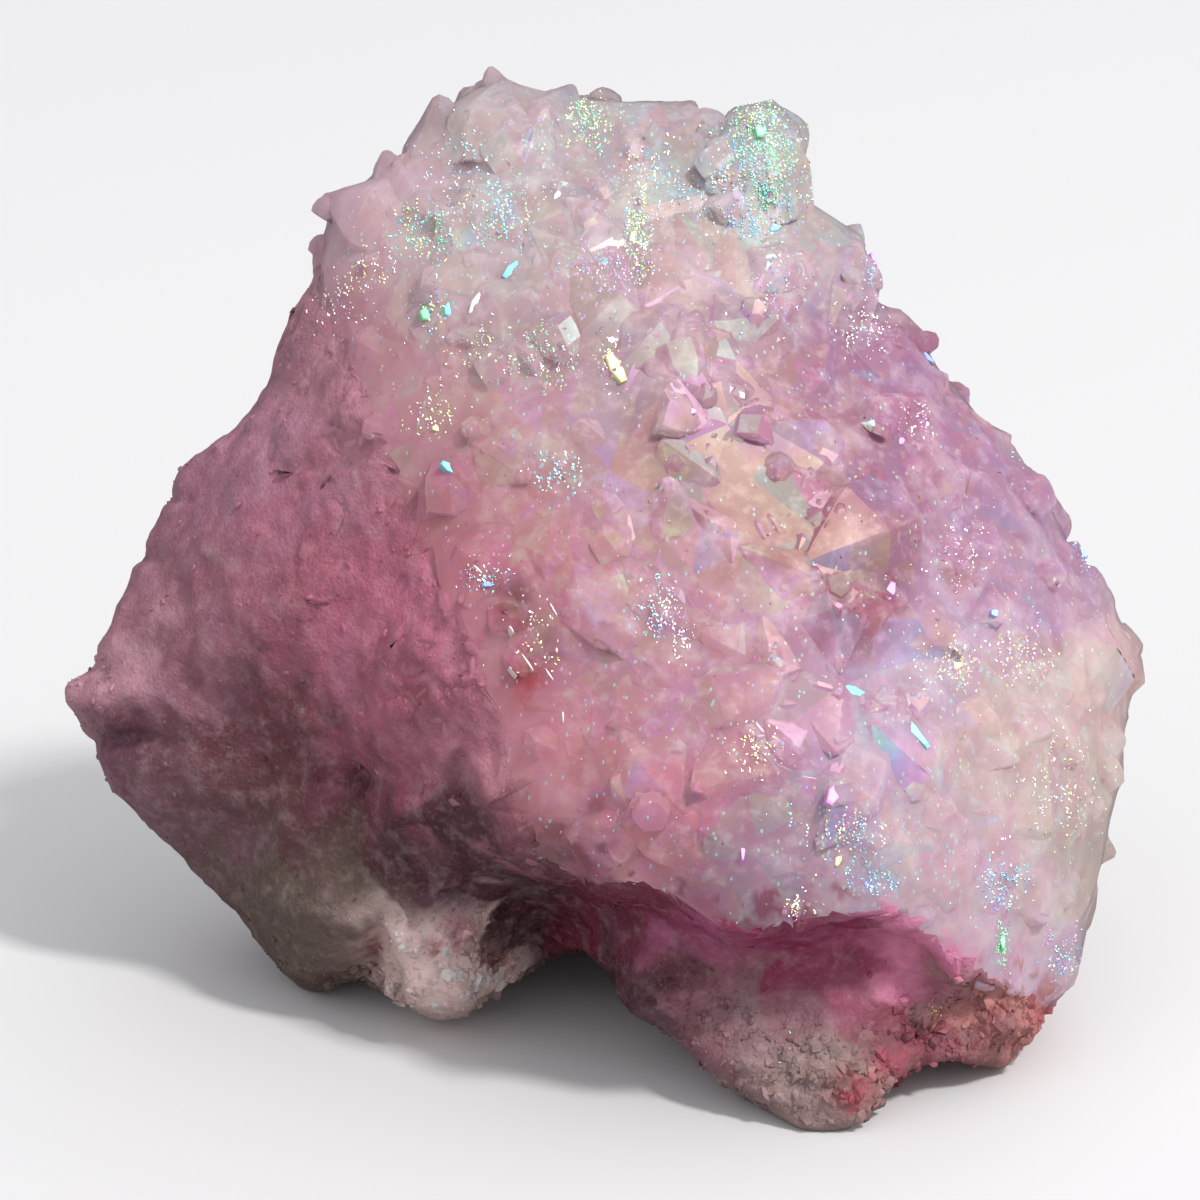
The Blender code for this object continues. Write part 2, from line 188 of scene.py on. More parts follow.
# The crust's smaller crystals.
# The part of the face that carries the crust: (u, v), clockwise from the top left.
crustOutline = [
    (-30, 44), (-10, 52), (22, 50), (42, 26), (56, 0), (54, -30), (42, -41), (38, -37.2), (33, -34.2),
    (27, -30.2), (23.4, -27.2), (16.4, -28), (11, -29.2), (7.5, -27.6), (2.2, -25), (-2.6, -25.4),
    (-6.4, -23.2), (-8.6, -17), (-10.5, -9), (-15.5, 1), (-20, 13), (-25.5, 26),
]
crust = {
    "behind": -9, "behindFrom": -20, "facing": -0.15, "outside": 0.6, "outsideFacing": -0.1,
    "broadFacet": 6.5, "onBroad": 0.04, "sidewaysSize": 0.65, "pointRise": 0.45, "along": (86, 92),
}
calmSpots = [  # where few crystals stand out: (u, v, reach, how few)
    (35, -19, 9, 0.95), (43, -8, 8, 0.9), (28, -26, 7, 0.9), (-16, 4, 6, 0.8), (-23, 22, 6, 0.6),
    (13.5, 41, 5, 0.95), (12, -26, 6, 0.8), (-7, -13, 6, 0.8), (36, 6, 7, 0.6), (24, 16, 5, 0.5),
    (40, -28, 8, 0.9), (-2, 36, 5, 0.6), (5, 30, 5, 0.5), (-8, 29, 4, 0.5),
]
crystal = {"sides": 6, "tipSlope": math.radians(51.8), "shaft": 1.0}

# Each crop of crystals: most lie over with one facet outwards, the others stand up as points.
growth = [
    {"name": "stubby", "count": 260, "radius": (1.3, 2.7), "rise": (-0.34, -0.02), "lean": (1, 9),
     "lying": 0.98, "apart": 2.2, "beyond": 1.0},
    {"name": "small", "count": 1100, "radius": (0.6, 1.2), "rise": (-0.12, 0.05), "lean": (1, 11),
     "lying": 0.98, "apart": 1.1, "beyond": 4.0},
]


def tipHeight(radius):
    return radius * math.cos(math.pi / 6) * math.tan(crystal["tipSlope"])


def takeShape(master):
    shape = readVertices(master.data), [tuple(polygon.vertices) for polygon in master.data.polygons]
    bpy.data.objects.remove(master)
    return shape


def makePrism(radius, depth, finish, **settings):
    # a six-sided prism that hangs down from the origin, with its top face finished by an edit
    deselectAll()
    bpy.ops.mesh.primitive_cylinder_add(vertices=crystal["sides"], radius=radius, depth=depth,
                                        location=(0, 0, -depth / 2))
    master = bpy.context.object
    bpy.ops.object.transform_apply(location=True, rotation=True, scale=True)
    selectNothing("FACE")
    for polygon in master.data.polygons:
        polygon.select = polygon.normal.z > 0.9
    edit(finish, **settings)
    return takeShape(master)


def makeCrystal():
    return makePrism(1, crystal["shaft"], bpy.ops.mesh.poke, offset=tipHeight(1.0))


def leaning(normal, low, high, rng):
    tilted = Matrix.Rotation(math.radians(rng.uniform(low, high)), 3, normal.orthogonal()) @ normal
    return (Matrix.Rotation(rng.uniform(0, 2 * math.pi), 3, normal) @ tilted).normalized()


def placeLying(radius, at, facet, along, rise):
    # one facet of the tip ends up level with the skin, and the shaft runs down into the lump
    slope, corner = crystal["tipSlope"], math.pi / crystal["sides"]
    along = (along - facet * along.dot(facet)).normalized()
    axis = facet * math.cos(slope) + along * math.sin(slope)
    turn = axis.to_track_quat("Z", "Y").to_matrix()
    level = turn.inverted() @ facet
    spin = math.atan2(level.y, level.x) - corner
    outward = (facet - axis * facet.dot(axis)).normalized()
    middle = axis * tipHeight(radius) / 2 + outward * radius * math.cos(corner) / 2
    place = Matrix.Translation(at + facet * rise - middle) @ turn.to_4x4()
    return place @ Matrix.Rotation(spin, 4, "Z") @ Matrix.Scale(radius, 4)


def placePoint(radius, at, axis, rise, spin):
    turn = axis.to_track_quat("Z", "Y").to_matrix().to_4x4()
    place = Matrix.Translation(at + axis * (rise - tipHeight(radius))) @ turn
    return place @ Matrix.Rotation(spin, 4, "Z") @ Matrix.Scale(radius, 4)


def insideOutline(points, outline):
    u, v = points[:, 0], points[:, 1]
    hit = np.zeros(len(points), bool)
    for (u0, v0), (u1, v1) in zip(outline, outline[1:] + outline[:1]):
        crosses = (v0 > v) != (v1 > v)
        if v0 != v1:
            hit ^= crosses & (u < (u1 - u0) * (v - v0) / (v1 - v0) + u0)
    return hit


def outlineDistance(points, outline):
    # how far inside the outline a point lies, negative outside it
    nearest = np.full(len(points), 1e9)
    for start, end in zip(outline, outline[1:] + outline[:1]):
        start, way = np.array(start), np.subtract(end, start)
        along = np.clip((points[:, :2] - start) @ way / (way @ way), 0, 1)
        nearest = np.minimum(nearest, np.linalg.norm(points[:, :2] - start - along[:, None] * way, axis=1))
    return np.where(insideOutline(points, outline), nearest, -nearest)


def carriesCrust(points, normals):
    overEdge = (points[:, 2] > crust["behind"]) & (points[:, 1] > crust["behindFrom"])
    return insideOutline(points, crustOutline) & ((normals[:, 2] > crust["facing"]) | overEdge)


def scatterOver(mesh, wanted, count, apart, rng):
    # places spread over the faces by area times how much each is wanted, none closer than apart
    mesh.calc_loop_triangles()
    owner = readArray(mesh.loop_triangles, "polygon_index", kind=np.int64)
    corners = toFace(readVertices(mesh))[readArray(mesh.loop_triangles, "vertices", 3, np.int64)]
    normals = readFaces(mesh)[1][owner]
    a, b, c = corners[:, 0], corners[:, 1], corners[:, 2]
    weight = np.linalg.norm(np.cross(b - a, c - a), axis=1) * wanted[owner]
    tries = 14 * count  # most of them fall too close to others
    picks = rng.choice(len(owner), size=tries, p=weight / weight.sum())
    r, s = np.sqrt(rng.random(tries))[:, None], rng.random(tries)[:, None]
    points = (1 - r) * a[picks] + r * (1 - s) * b[picks] + r * s * c[picks]
    cells, taken = {}, []
    around = [(x, y, z) for x in (-1, 0, 1) for y in (-1, 0, 1) for z in (-1, 0, 1)]
    for point, normal in zip(points, normals[picks]):
        x, y, z = (int(value) for value in point // apart)
        near = (other for dx, dy, dz in around for other in cells.get((x + dx, y + dy, z + dz), ()))
        if all(sum((p - o) ** 2 for p, o in zip(point, other)) > apart ** 2 for other in near):
            cells.setdefault((x, y, z), []).append(tuple(point))
            taken.append((Vector(point), Vector(normal)))
            if len(taken) == count:
                break
    return taken


def meshFromCopies(name, shape, places, jitter=0):
    verts, faces = shape
    matrices = np.array([np.array(place) for place in places])
    verts = verts + jitter * np.random.default_rng(2).normal(size=(len(places), *verts.shape))
    points = np.einsum("nij,nkj->nki", matrices[:, :3, :3], verts) + matrices[:, None, :3, 3]
    starts = range(0, len(places) * verts.shape[1], verts.shape[1])
    mesh = bpy.data.meshes.new(name)
    mesh.from_pydata(toWorld(points.reshape(-1, 3)).tolist(), [],
                     [tuple(start + corner for corner in polygon) for start in starts for polygon in faces])
    piece = bpy.data.objects.new(name, mesh)
    bpy.context.scene.collection.objects.link(piece)
    return piece


def growCrystals(body):
    spread, rng = np.random.default_rng(5), random.Random(5)
    shape = makeCrystal()
    points, normals, areas = readFaces(body.data)
    groups = facetGroups(body.data)
    broad = np.bincount(groups, areas, len(areas))[groups] > crust["broadFacet"]
    inner = carriesCrust(points, normals)
    depth = outlineDistance(points, crustOutline)
    beyond = (depth < 0) & (points[:, 1] > crust["behindFrom"]) & (normals[:, 2] > crust["outsideFacing"])
    calm = np.ones(len(points))
    for u, v, reach, few in calmSpots:
        calm = np.minimum(calm, 1 - few * nearness(points, u, v, reach))
    places = []
    for crop in growth:
        outside = beyond * crust["outside"] * np.exp(np.minimum(depth, 0) / crop["beyond"])
        wanted = (inner * np.where(broad, crust["onBroad"], 1.0) + outside) * calm ** 2
        spots = scatterOver(body.data, wanted, howMany(crop["count"]), crop["apart"], spread)
        print("crystals:", crop["name"], len(spots))
        for at, normal in spots:
            size = crust["sidewaysSize"] + (1 - crust["sidewaysSize"]) * float(step(0, 0.7, normal.z))
            radius, rise = size * rng.uniform(*crop["radius"]), size * rng.uniform(*crop["rise"])
            if rng.random() < crop["lying"]:
                along = leaning(normal, *crust["along"], rng)
                places.append(placeLying(radius, at, leaning(normal, *crop["lean"], rng), along, rise))
            else:
                axis = leaning(normal, *crop["lean"], rng)
                rise += crust["pointRise"] * radius
                places.append(placePoint(radius, at, axis, rise, rng.uniform(0, math.pi)))
    crystals = meshFromCopies("crystals", shape, places)
    for piece, name in ((body, "lump_faces"), (crystals, "crystal_faces")):
        piece.data.materials.clear()
        piece.data.materials.append(bpy.data.materials.new(name))
    applyModifier(body, "BOOLEAN", operation="UNION", object=crystals, solver="EXACT", use_self=True,
                  material_mode="TRANSFER")
    bpy.data.objects.remove(crystals)
    print("crystals: joined, faces", len(body.data.polygons))


# The broken quartz that the crust stands on.
broken = {
    "roundness": 0.6, "edgeLengths": (3.4, 1.7, 0.85), "smoothings": (1, 2, 3), "baseHeight": 0.15,
    "fade": 1.6, "fadeSteps": 3, "fineLength": 0.45, "fineBehind": -22, "dentsBehind": -30,
    "relief": [  # size of the forms and how far they stand out, in millimetres
        {"size": 9.0, "height": 1.3, "kind": "CLOUDS", "depth": 0},
        {"size": 4.0, "height": 0.9, "kind": "VORONOI"},
        {"size": 1.3, "height": 0.34, "kind": "CLOUDS", "depth": 2},
    ],
    "dents": [  # steps, creases and pits: (u, v, reach across, reach up, millimetres outwards)
        (-38.9, 7.6, 1.6, 0.7, -0.8), (-39.4, 9.9, 2, 1.6, 0.5), (-42, 2.4, 1.2, 0.6, -0.6),
        (-41.3, 4.8, 1.8, 1.4, 0.2), (-47.9, -10, 2.4, 1.6, 1.2), (-46.4, -7.6, 1.4, 1, -0.5),
        (-43.3, -14.2, 4.5, 0.8, -1.2), (-22.6, -17.3, 1.3, 1.1, -1), (-28, -12, 4, 1, 0.5),
        (-35.5, -20.5, 4, 0.9, -0.5), (-21, -31.8, 0.8, 1.5, -1.5), (-11, -32.6, 0.8, 1.4, -1),
        (-13.2, -30.2, 1.3, 1, 1), (-17.5, -31, 2, 1.1, 0.7), (-15.6, -31.8, 0.7, 0.9, -0.8),
        (-18.4, -35.6, 1.8, 0.9, 0.7), (-13.6, -35.4, 1.6, 0.9, 0.7), (-15.9, -34, 0.9, 1.6, -0.6),
        (21.8, -40, 1.3, 1, -1.2), (26.5, -38.4, 1.2, 0.8, -1), (30, -39.6, 1.6, 1.2, -0.9),
        (20.6, -43.2, 1.6, 1.2, 0.8), (24, -41, 1.4, 1, 0.7), (33.5, -38, 2.2, 1.2, 0.9),
        (29, -35.6, 2, 1, 0.7), (5, -35, 3.5, 0.9, 0.6), (2.5, -38, 4, 1, -0.5), (14, -37, 1.6, 1, -0.6),
        (11.5, -40.5, 2.4, 1, 0.5),
    ],
    "fineSpots": [  # where the mesh is cut finer for its crumbly breaks: (u, v, reach)
        (14, -41, 9), (31, -38, 7), (-15, -32, 6), (-22.6, -17.3, 2), (-46, -11, 3),
    ],
}


def brokenFaces(mesh):
    # the lump's own faces outside the crust, before the materials are laid
    points, normals, _ = readFaces(mesh)
    return (readArray(mesh.polygons, "material_index", kind=np.int64) == 0) & ~carriesCrust(points, normals)


def longEdges(mesh, faces, longest):
    # edges between two of the faces that are longer than wanted
    verts, ends = readVertices(mesh), readArray(mesh.edges, "vertices", 2, np.int64)
    raised = heightOf(readFaces(mesh)[0]) > broken["baseHeight"]
    owner, _, edges = cornerOwners(mesh)
    outside = np.zeros(len(ends), bool)
    outside[edges[~(faces & raised)[owner]]] = True
    return ~outside & (np.linalg.norm(verts[ends[:, 0]] - verts[ends[:, 1]], axis=1) / mm > longest)


def cutLongEdges(body, faces, longest, roundness):
    activate(body)
    mesh = body.data
    selectNothing("FACE")
    mesh.attributes.new("chosen", "BOOLEAN", "FACE").data.foreach_set("value", faces)
    mesh.polygons.foreach_set("select", faces)
    edit(bpy.ops.mesh.quads_convert_to_tris, quad_method="BEAUTY", ngon_method="BEAUTY")
    selectNothing("EDGE")
    chosen = readArray(mesh.attributes["chosen"].data, "value", kind=bool)
    mesh.edges.foreach_set("select", longEdges(mesh, chosen, longest))
    edit(bpy.ops.mesh.subdivide, number_cuts=1, smoothness=roundness)
    selectNothing("VERT")
    mesh.attributes.remove(mesh.attributes["chosen"])


def breakUp(body):
    mesh = body.data
    for longest, smoothings in zip(broken["edgeLengths"], broken["smoothings"]):
        cutLongEdges(body, brokenFaces(mesh), longest, broken["roundness"])
        mesh.vertices.foreach_set("select", brokenWeight(mesh) > 0.5)
        edit(bpy.ops.mesh.vertices_smooth, factor=0.5, repeat=smoothings)
        print("broken quartz: edges under", longest, "mm, faces", len(mesh.polygons))
    points = readFaces(mesh)[0]
    fine = np.zeros(len(points), bool)
    for u, v, reach in broken["fineSpots"]:
        fine |= awayFrom(points, u, v, reach) < 1
    fine &= points[:, 2] > broken["fineBehind"]
    cutLongEdges(body, brokenFaces(mesh) & fine, broken["fineLength"], broken["roundness"])
    print("broken quartz: finer at its crumbly breaks, faces", len(mesh.polygons))


def brokenWeight(mesh):
    # 1 on the broken quartz, 0 on the crust and on the level resting area
    owner, corners, _ = cornerOwners(mesh)
    weight = np.ones(len(mesh.vertices))
    weight[corners[~brokenFaces(mesh)[owner]]] = 0
    return weight * step(broken["baseHeight"], broken["fade"], readVertices(mesh)[:, 2] / mm)


def vertexWeights(body, name, weights, count=20):
    group = body.vertex_groups.new(name=name)
    levels = np.round(weights * count).astype(int)
    for level in range(1, count + 1):
        group.add(np.nonzero(levels == level)[0].tolist(), level / count, "REPLACE")


def dent(body, weights, dents):
    points = toFace(readVertices(body.data))
    depth = np.zeros(len(points))
    for u, v, across, up, outwards in dents:
        depth += outwards * nearness(points, u, v, across, up) * (points[:, 2] > broken["dentsBehind"])
    deepest = np.abs(depth).max()
    for sign in (1, -1):
        vertexWeights(body, "dents", np.clip(sign * depth / deepest, 0, 1) * weights, 60)
        applyModifier(body, "DISPLACE", vertex_group="dents", strength=sign * deepest * mm, mid_level=0)
        body.vertex_groups.clear()
    print("lump: dented in", len(dents), "places")


def roughen(body):
    weights = brokenWeight(body.data)
    # spread the edge of the mask inwards so that the relief fades out
    edges = readArray(body.data.edges, "vertices", 2, np.int64)
    here, there = np.concatenate([edges, edges[:, ::-1]]).T
    degree = np.bincount(here, minlength=len(weights))
    for _ in range(broken["fadeSteps"]):
        mean = np.bincount(here, weights[there], len(weights)) / np.maximum(degree, 1)
        weights = np.minimum(weights, 0.5 * weights + 0.5 * mean)
    dent(body, weights, broken["dents"])
    vertexWeights(body, "broken", weights)
    for number, form in enumerate(broken["relief"]):
        texture = bpy.data.textures.new("grain%d" % number, form["kind"])
        texture.noise_scale = form["size"] * mm
        if form["kind"] == "CLOUDS":
            texture.noise_depth = form["depth"]
        applyModifier(body, "DISPLACE", texture=texture, texture_coords="LOCAL", vertex_group="broken",
                      strength=form["height"] * mm, mid_level=0.5)
        bpy.data.textures.remove(texture)
    body.vertex_groups.clear()
    print("broken quartz: roughened")


# The worn, milky softness of the crust.
softness = {
    "everywhere": 0.62, "passes": 5, "cuts": 3, "edgeLength": 1.1, "above": 0.3, "facetShare": 0.24,
    "cell": 2.5, "pad": 3, "blur": 4,
    "domes": [  # rounded lumps of crust: (u, v, reach across, reach up, millimetres outwards)
        (17.2, 40.2, 2.2, 2.4, 1.6), (11.2, 41, 1.8, 1.6, 1.2), (14.9, 43.4, 1.3, 1.2, -0.7),
        (-14.5, 42.5, 2.2, 1.6, 0.5), (30, 22, 2, 2, 0.4), (38.5, 9.5, 1.6, 2, 0.4),
        (43.8, -0.5, 1.6, 2.4, 0.4),
    ],
    "softSpots": [  # where the crust is nearly smooth: (u, v, reach, how soft)
        (32, -24, 9, 1), (38, -12, 7, 0.8), (24, -22, 6, 0.8), (44, -20, 8, 1), (13, -24, 6, 0.8),
        (2, -18, 6, 0.8), (-8, -4, 7, 0.9), (27, 12, 6, 0.5), (-24, 24, 7, 0.9), (-19, 10, 6, 1),
        (-14, 2, 6, 1), (-6, -16, 6, 0.9), (13.5, 41, 5, 1), (44, -2, 7, 1), (38, 10, 6, 0.9),
    ],
}


def keepFacets(body):
    # number the flat facets before they are softened and keep the way they face, for their film and shading
    _, groups = np.unique(facetGroups(body.data), return_inverse=True)
    attribute = body.data.attributes.new("facet", "INT", "FACE")
    attribute.data.foreach_set("value", groups.astype(np.int32))
    attribute = body.data.attributes.new("facing", "FLOAT_VECTOR", "FACE")
    attribute.data.foreach_set("vector", readFaces(body.data)[1].astype(np.float32).ravel())


def dropFlaps(body):
    # faces of no width can be left hanging by one edge, with the others open
    mesh = body.data
    while True:
        owner, _, edges = cornerOwners(mesh)
        hanging = owner[np.bincount(edges)[edges] == 1]
        if not len(hanging):
            return
        selectNothing("FACE")
        mesh.polygons.foreach_set("select", np.isin(np.arange(len(mesh.polygons)), hanging))
        edit(bpy.ops.mesh.delete, type="FACE")
        print("crust: flaps taken off, faces", len(mesh.polygons))


def softenCrust(body):
    for _ in range(softness["cuts"]):
        cutLongEdges(body, ~brokenFaces(body.data), softness["edgeLength"], 0)
    dropFlaps(body)
    dent(body, 1 - brokenWeight(body.data), softness["domes"])
    points = toFace(readVertices(body.data))
    weights = np.full(len(points), softness["everywhere"])
    for u, v, reach, amount in softness["softSpots"]:
        weights = np.maximum(weights, amount * nearness(points, u, v, reach))
    weights *= 1 - brokenWeight(body.data)
    weights[readVertices(body.data)[:, 2] < softness["above"] * mm] = 0
    vertexWeights(body, "soft", weights)
    applyModifier(body, "SMOOTH", factor=0.5, iterations=softness["passes"], vertex_group="soft")
    body.vertex_groups.clear()
    print("crust: softened, faces", len(body.data.polygons))


def spreadNormals(mesh):
    # the normals of the lump's broad form: facet normals gathered in a grid of cells and blurred
    points, normals, areas = readFaces(mesh)
    cell, pad = softness["cell"], softness["pad"]
    low = points.min(0) - pad * cell
    shape = tuple(np.ceil((points.max(0) - low) / cell).astype(int) + pad)
    grid = np.zeros((*shape, 3))
    np.add.at(grid, tuple(((points - low) // cell).astype(int).T), normals * areas[:, None])
    for _ in range(softness["blur"]):
        for axis in range(3):
            grid = (np.roll(grid, 1, axis) + 2 * grid + np.roll(grid, -1, axis)) / 4
    at = (toFace(readVertices(mesh)) - low) / cell - 0.5
    base = np.floor(at).astype(int)
    part = at - base
    total = np.zeros((len(at), 3))
    for corner in range(8):
        step3 = np.array([corner >> axis & 1 for axis in range(3)])
        weight = np.prod(np.where(step3, part, 1 - part), axis=1)
        total += weight[:, None] * grid[tuple((base + step3).T)]
    return unit(total)


def milkyNormals(body):
    # facets shade only part of the way to their own tilt, as milky crystals lit from within do
    mesh = body.data
    owner, corners, _ = cornerOwners(mesh)
    normals = readArray(mesh.attributes["facing"].data, "vector", 3)
    share = softness["facetShare"]
    blend = share * normals[owner] + (1 - share) * spreadNormals(mesh)[corners]
    plain = readArray(mesh.vertex_normals, "vector", 3)[corners] @ faceAxes.T
    blend = unit(np.where(brokenFaces(mesh)[owner][:, None], plain, blend))
    mesh.polygons.foreach_set("use_smooth", np.ones(len(mesh.polygons), bool))
    mesh.normals_split_custom_set((blend @ faceAxes).tolist())
    mesh.attributes.remove(mesh.attributes["facing"])
    print("crust: normals set")


# Build the lump.
body = copySolid()
growCrystals(body)
breakUp(body)
keepFacets(body)
softenCrust(body)
roughen(body)
milkyNormals(body)


# The colours of the quartz, with painted light and shade.
# Zones of colour, seen from the front: (u, v, reach, (red, green, blue)), in millimetres and 0 to 255.
# Besides the quartz's own colours these zones hold painted light and shade: colours above 255 are painted
# light, lifted where the quartz lies in shade, and the broken quartz is darker as painted shade in the
# hollows under the crust's lip and, together with its own deeper colour, on its lower left flank.
crustColoursAndLight = [
    (-1, 38, 11, (204, 176, 188)), (13, 37, 8, (206, 188, 194)), (-16, 31, 8, (234, 206, 216)),
    # (-24, 30) is lifted above 255: painted light on the crust's upper left edge
    (-24, 30, 7, (266, 214, 226)), (0, 22, 9, (200, 166, 181)), (-5, 12, 8, (216, 166, 180)),
    (9, 14, 8, (182, 118, 146)), (25, 9, 9, (190, 120, 152)), (36, 6, 8, (206, 154, 182)),
    (34, -15, 10, (227, 191, 198)), (43, -10, 6, (242, 200, 200)), (42, -22, 6, (224, 202, 190)),
    (2, -5, 8, (216, 150, 174)), (13, -16, 8, (202, 128, 160)), (-1, -17, 6, (250, 144, 164)),
    (-7, 2, 6, (234, 132, 152)), (20, 2.5, 5.5, (162, 48, 68)), (11.5, 9.5, 4, (180, 96, 114)),
    (23, -22, 7, (236, 194, 214)), (30, -26, 7, (252, 196, 234)), (-15, 16, 6, (236, 176, 192)),
    (-12, 6, 5, (228, 134, 152)), (-21, 20, 5, (222, 152, 172)), (-17, 4, 5, (214, 106, 136)),
    # (-6, -19.5) and (-3, -23.5) are lifted above 255: painted light where the crust turns down into shade
    # above the lip
    (-8, -12, 5, (232, 134, 158)), (-6, -19.5, 4, (262, 170, 186)), (-3, -23.5, 3, (274, 182, 198)),
    (7, -12, 5, (222, 158, 180)),
]
brokenColoursAndShade = [
    (-25, 14, 8, (218, 148, 166)), (-34, 9, 7, (190, 126, 158)), (-26, 3, 7, (204, 104, 130)),
    (-37, 0, 8, (182, 120, 134)), (-45, -8, 5, (232, 170, 186)), (-19, -5, 7, (226, 130, 158)),
    # (-44, -13) and (-30, -13) darken the lower left flank: partly the quartz's deeper colour, partly painted
    # shade
    (-44, -13, 3.5, (110, 42, 66)), (-30, -13, 7, (112, 56, 63)), (-17, -12, 5, (176, 92, 110)),
    (-38, -20, 5, (138, 96, 104)), (-33, -27, 6, (120, 92, 84)), (-28, -32, 6, (128, 112, 96)),
    # the pale lump: its own pale colour, lifted above 255 as painted light where it lies in shade under the
    # overhang
    (-14, -33, 3.4, (290, 252, 242)), (-18.4, -33.4, 3.6, (290, 250, 244)), (-24, -34, 3.4, (112, 88, 80)),
    (-10, -14.5, 4, (246, 164, 180)), (-12, -9.5, 4, (208, 124, 146)), (-8.5, -21, 3, (196, 116, 132)),
    # painted shadow: these three zones darken the shaded hollow under the crust's lip and below the left
    # flank
    (-17, -22, 4, (84, 40, 44)), (-9, -27.5, 4.5, (58, 8, 10)), (-12.5, -23, 3, (70, 26, 34)),
    # (0, -28) and (18, -31) are the plum band under the lip: the quartz's deeper colour with painted shade
    (0, -28, 5, (138, 34, 66)), (8, -31, 3, (204, 92, 146)), (18, -31, 5, (158, 48, 92)),
    # (25, -30.5) is the violet-pink patch under the lip, lifted above 255 as painted light where the lip's
    # shadow falls
    (25, -30.5, 4.4, (280, 170, 214)), (27, -37, 5, (140, 60, 76)), (7, -38, 5, (162, 108, 116)),
    # (0, -36) is painted shade in the hollow behind the foot
    (0, -36, 4, (72, 44, 46)), (13, -40, 4, (176, 146, 150)), (17, -44, 5, (176, 148, 140)),
    (33, -38, 4, (214, 144, 138)), (29, -35.5, 2, (206, 168, 168)), (46, 2, 9, (206, 162, 184)),
    (47, -14, 8, (234, 202, 198)), (45, -28, 5, (226, 200, 196)), (32, 24, 8, (196, 142, 168)),
    (14, 46, 8, (206, 190, 194)), (-2, 48, 8, (204, 176, 188)), (-22, 44, 8, (236, 196, 210)),
]
marksAndPitShade = [  # small deep marks: stains on the breaks, and painted shade in two pits: (u, v, reach, strength, (red, green, blue))
    (20.3, -43.4, 1.6, 0.9, (190, 62, 82)), (23.6, -41.2, 1.5, 0.8, (196, 72, 92)),
    (37.6, -37.2, 1.6, 0.8, (205, 84, 98)), (-7.5, -8.5, 1.4, 1, (200, 46, 54)),
    (-8.4, -1.4, 2, 0.95, (142, 62, 50)), (-6.3, -4.8, 1.8, 0.85, (164, 78, 68)),
    # (-22.5, -17.3) is painted shade in a pit of the left flank
    (-22.5, -17.3, 1, 0.9, (60, 34, 36)), (-43.8, -13.4, 2.6, 0.8, (92, 40, 62)),
    # (-21.4, -31.8) is painted shade in the hollow between the foot and the pale lump
    (-13.7, -30.3, 1.4, 0.7, (178, 92, 112)), (-21.4, -31.8, 1.2, 0.9, (112, 38, 30)),
    (-15.6, -31.8, 0.8, 0.8, (170, 80, 92)), (-10.4, -33.4, 1, 0.7, (150, 52, 44)),
    (-30, -29, 4, 0.5, (92, 84, 74)),
]
backColour = (166, 118, 128)
tone = {"crust": 0.78, "broken": 0.84}
zoneEdges = {"zones": (2.2, 9, 1), "marksAndPitShade": (0.5, 2.5, 4), "back": (-26, -10), "backWaver": (2, 7, 3)}
border = {"reach": 5.5, "colour": 0.9, "outside": 0.8, "film": 0.85, "waver": (2.2, 5, 11), "endsAt": (-3, 2)}


def linear(colour):
    return np.array([(channel / 255) ** 2.2 for channel in colour])


def softNoise(points, size, seed):
    # a few turned waves bent by each other, as smooth as a cloud and the same on every run
    spread = np.random.default_rng(seed)
    total = np.zeros(len(points))
    for _ in range(9):
        direction = spread.normal(size=3)
        direction *= 2 * math.pi / size / np.linalg.norm(direction) * spread.uniform(0.6, 1.5)
        total += np.sin(points @ direction + spread.uniform(0, 2 * math.pi) + 1.1 * total)
    return total / 3


def waver(points, far, size, seed):
    return far * softNoise(points, size, seed)


def bendPlaces(points, far, size, seed):
    # places moved about a little, so that what is painted there has wavy edges
    return points[:, :2] + np.stack([waver(points, far, size, seed), waver(points, far, size, seed + 1)], 1)


def zoneColour(points, zones):
    bent = bendPlaces(points, *zoneEdges["zones"])
    total, weights = np.zeros((len(points), 3)), np.full(len(points), 1e-6)
    for u, v, reach, colour in zones:
        weight = nearness(bent, u, v, reach)
        total += weight[:, None] * linear(colour)
        weights += weight
    total = (total + 1e-6 * linear(backColour)) / weights[:, None]
    back = 1 - step(*zoneEdges["back"], points[:, 2] + waver(points, *zoneEdges["backWaver"]))
    total += back[:, None] * (linear(backColour) - total)
    bent = bendPlaces(points, *zoneEdges["marksAndPitShade"])
    for u, v, reach, strength, colour in marksAndPitShade:
        weight = strength * nearness(bent, u, v, reach) * step(*zoneEdges["back"], points[:, 2])
        total += weight[:, None] * (linear(colour) - total)
    return total


def borderFade(points):
    # towards the left the crust runs out softly into the broken quartz, below it ends at a lip
    depth = outlineDistance(points, crustOutline) + waver(points, *border["waver"])
    fade = np.exp(-(np.maximum(depth, 0) / border["reach"]) ** 1.5)
    return np.where(depth < 0, border["outside"], fade * (1 - step(*border["endsAt"], points[:, 0])))


def storeAttribute(mesh, name, domain, values):
    colour = values.ndim == 2
    attribute = mesh.attributes.new(name, "FLOAT_COLOR" if colour else "FLOAT", domain)
    if colour:
        values = np.concatenate([values, np.ones((len(values), 1))], 1)
        attribute.data.foreach_set("color", values.astype(np.float32).ravel())
    else:
        attribute.data.foreach_set("value", values.astype(np.float32))


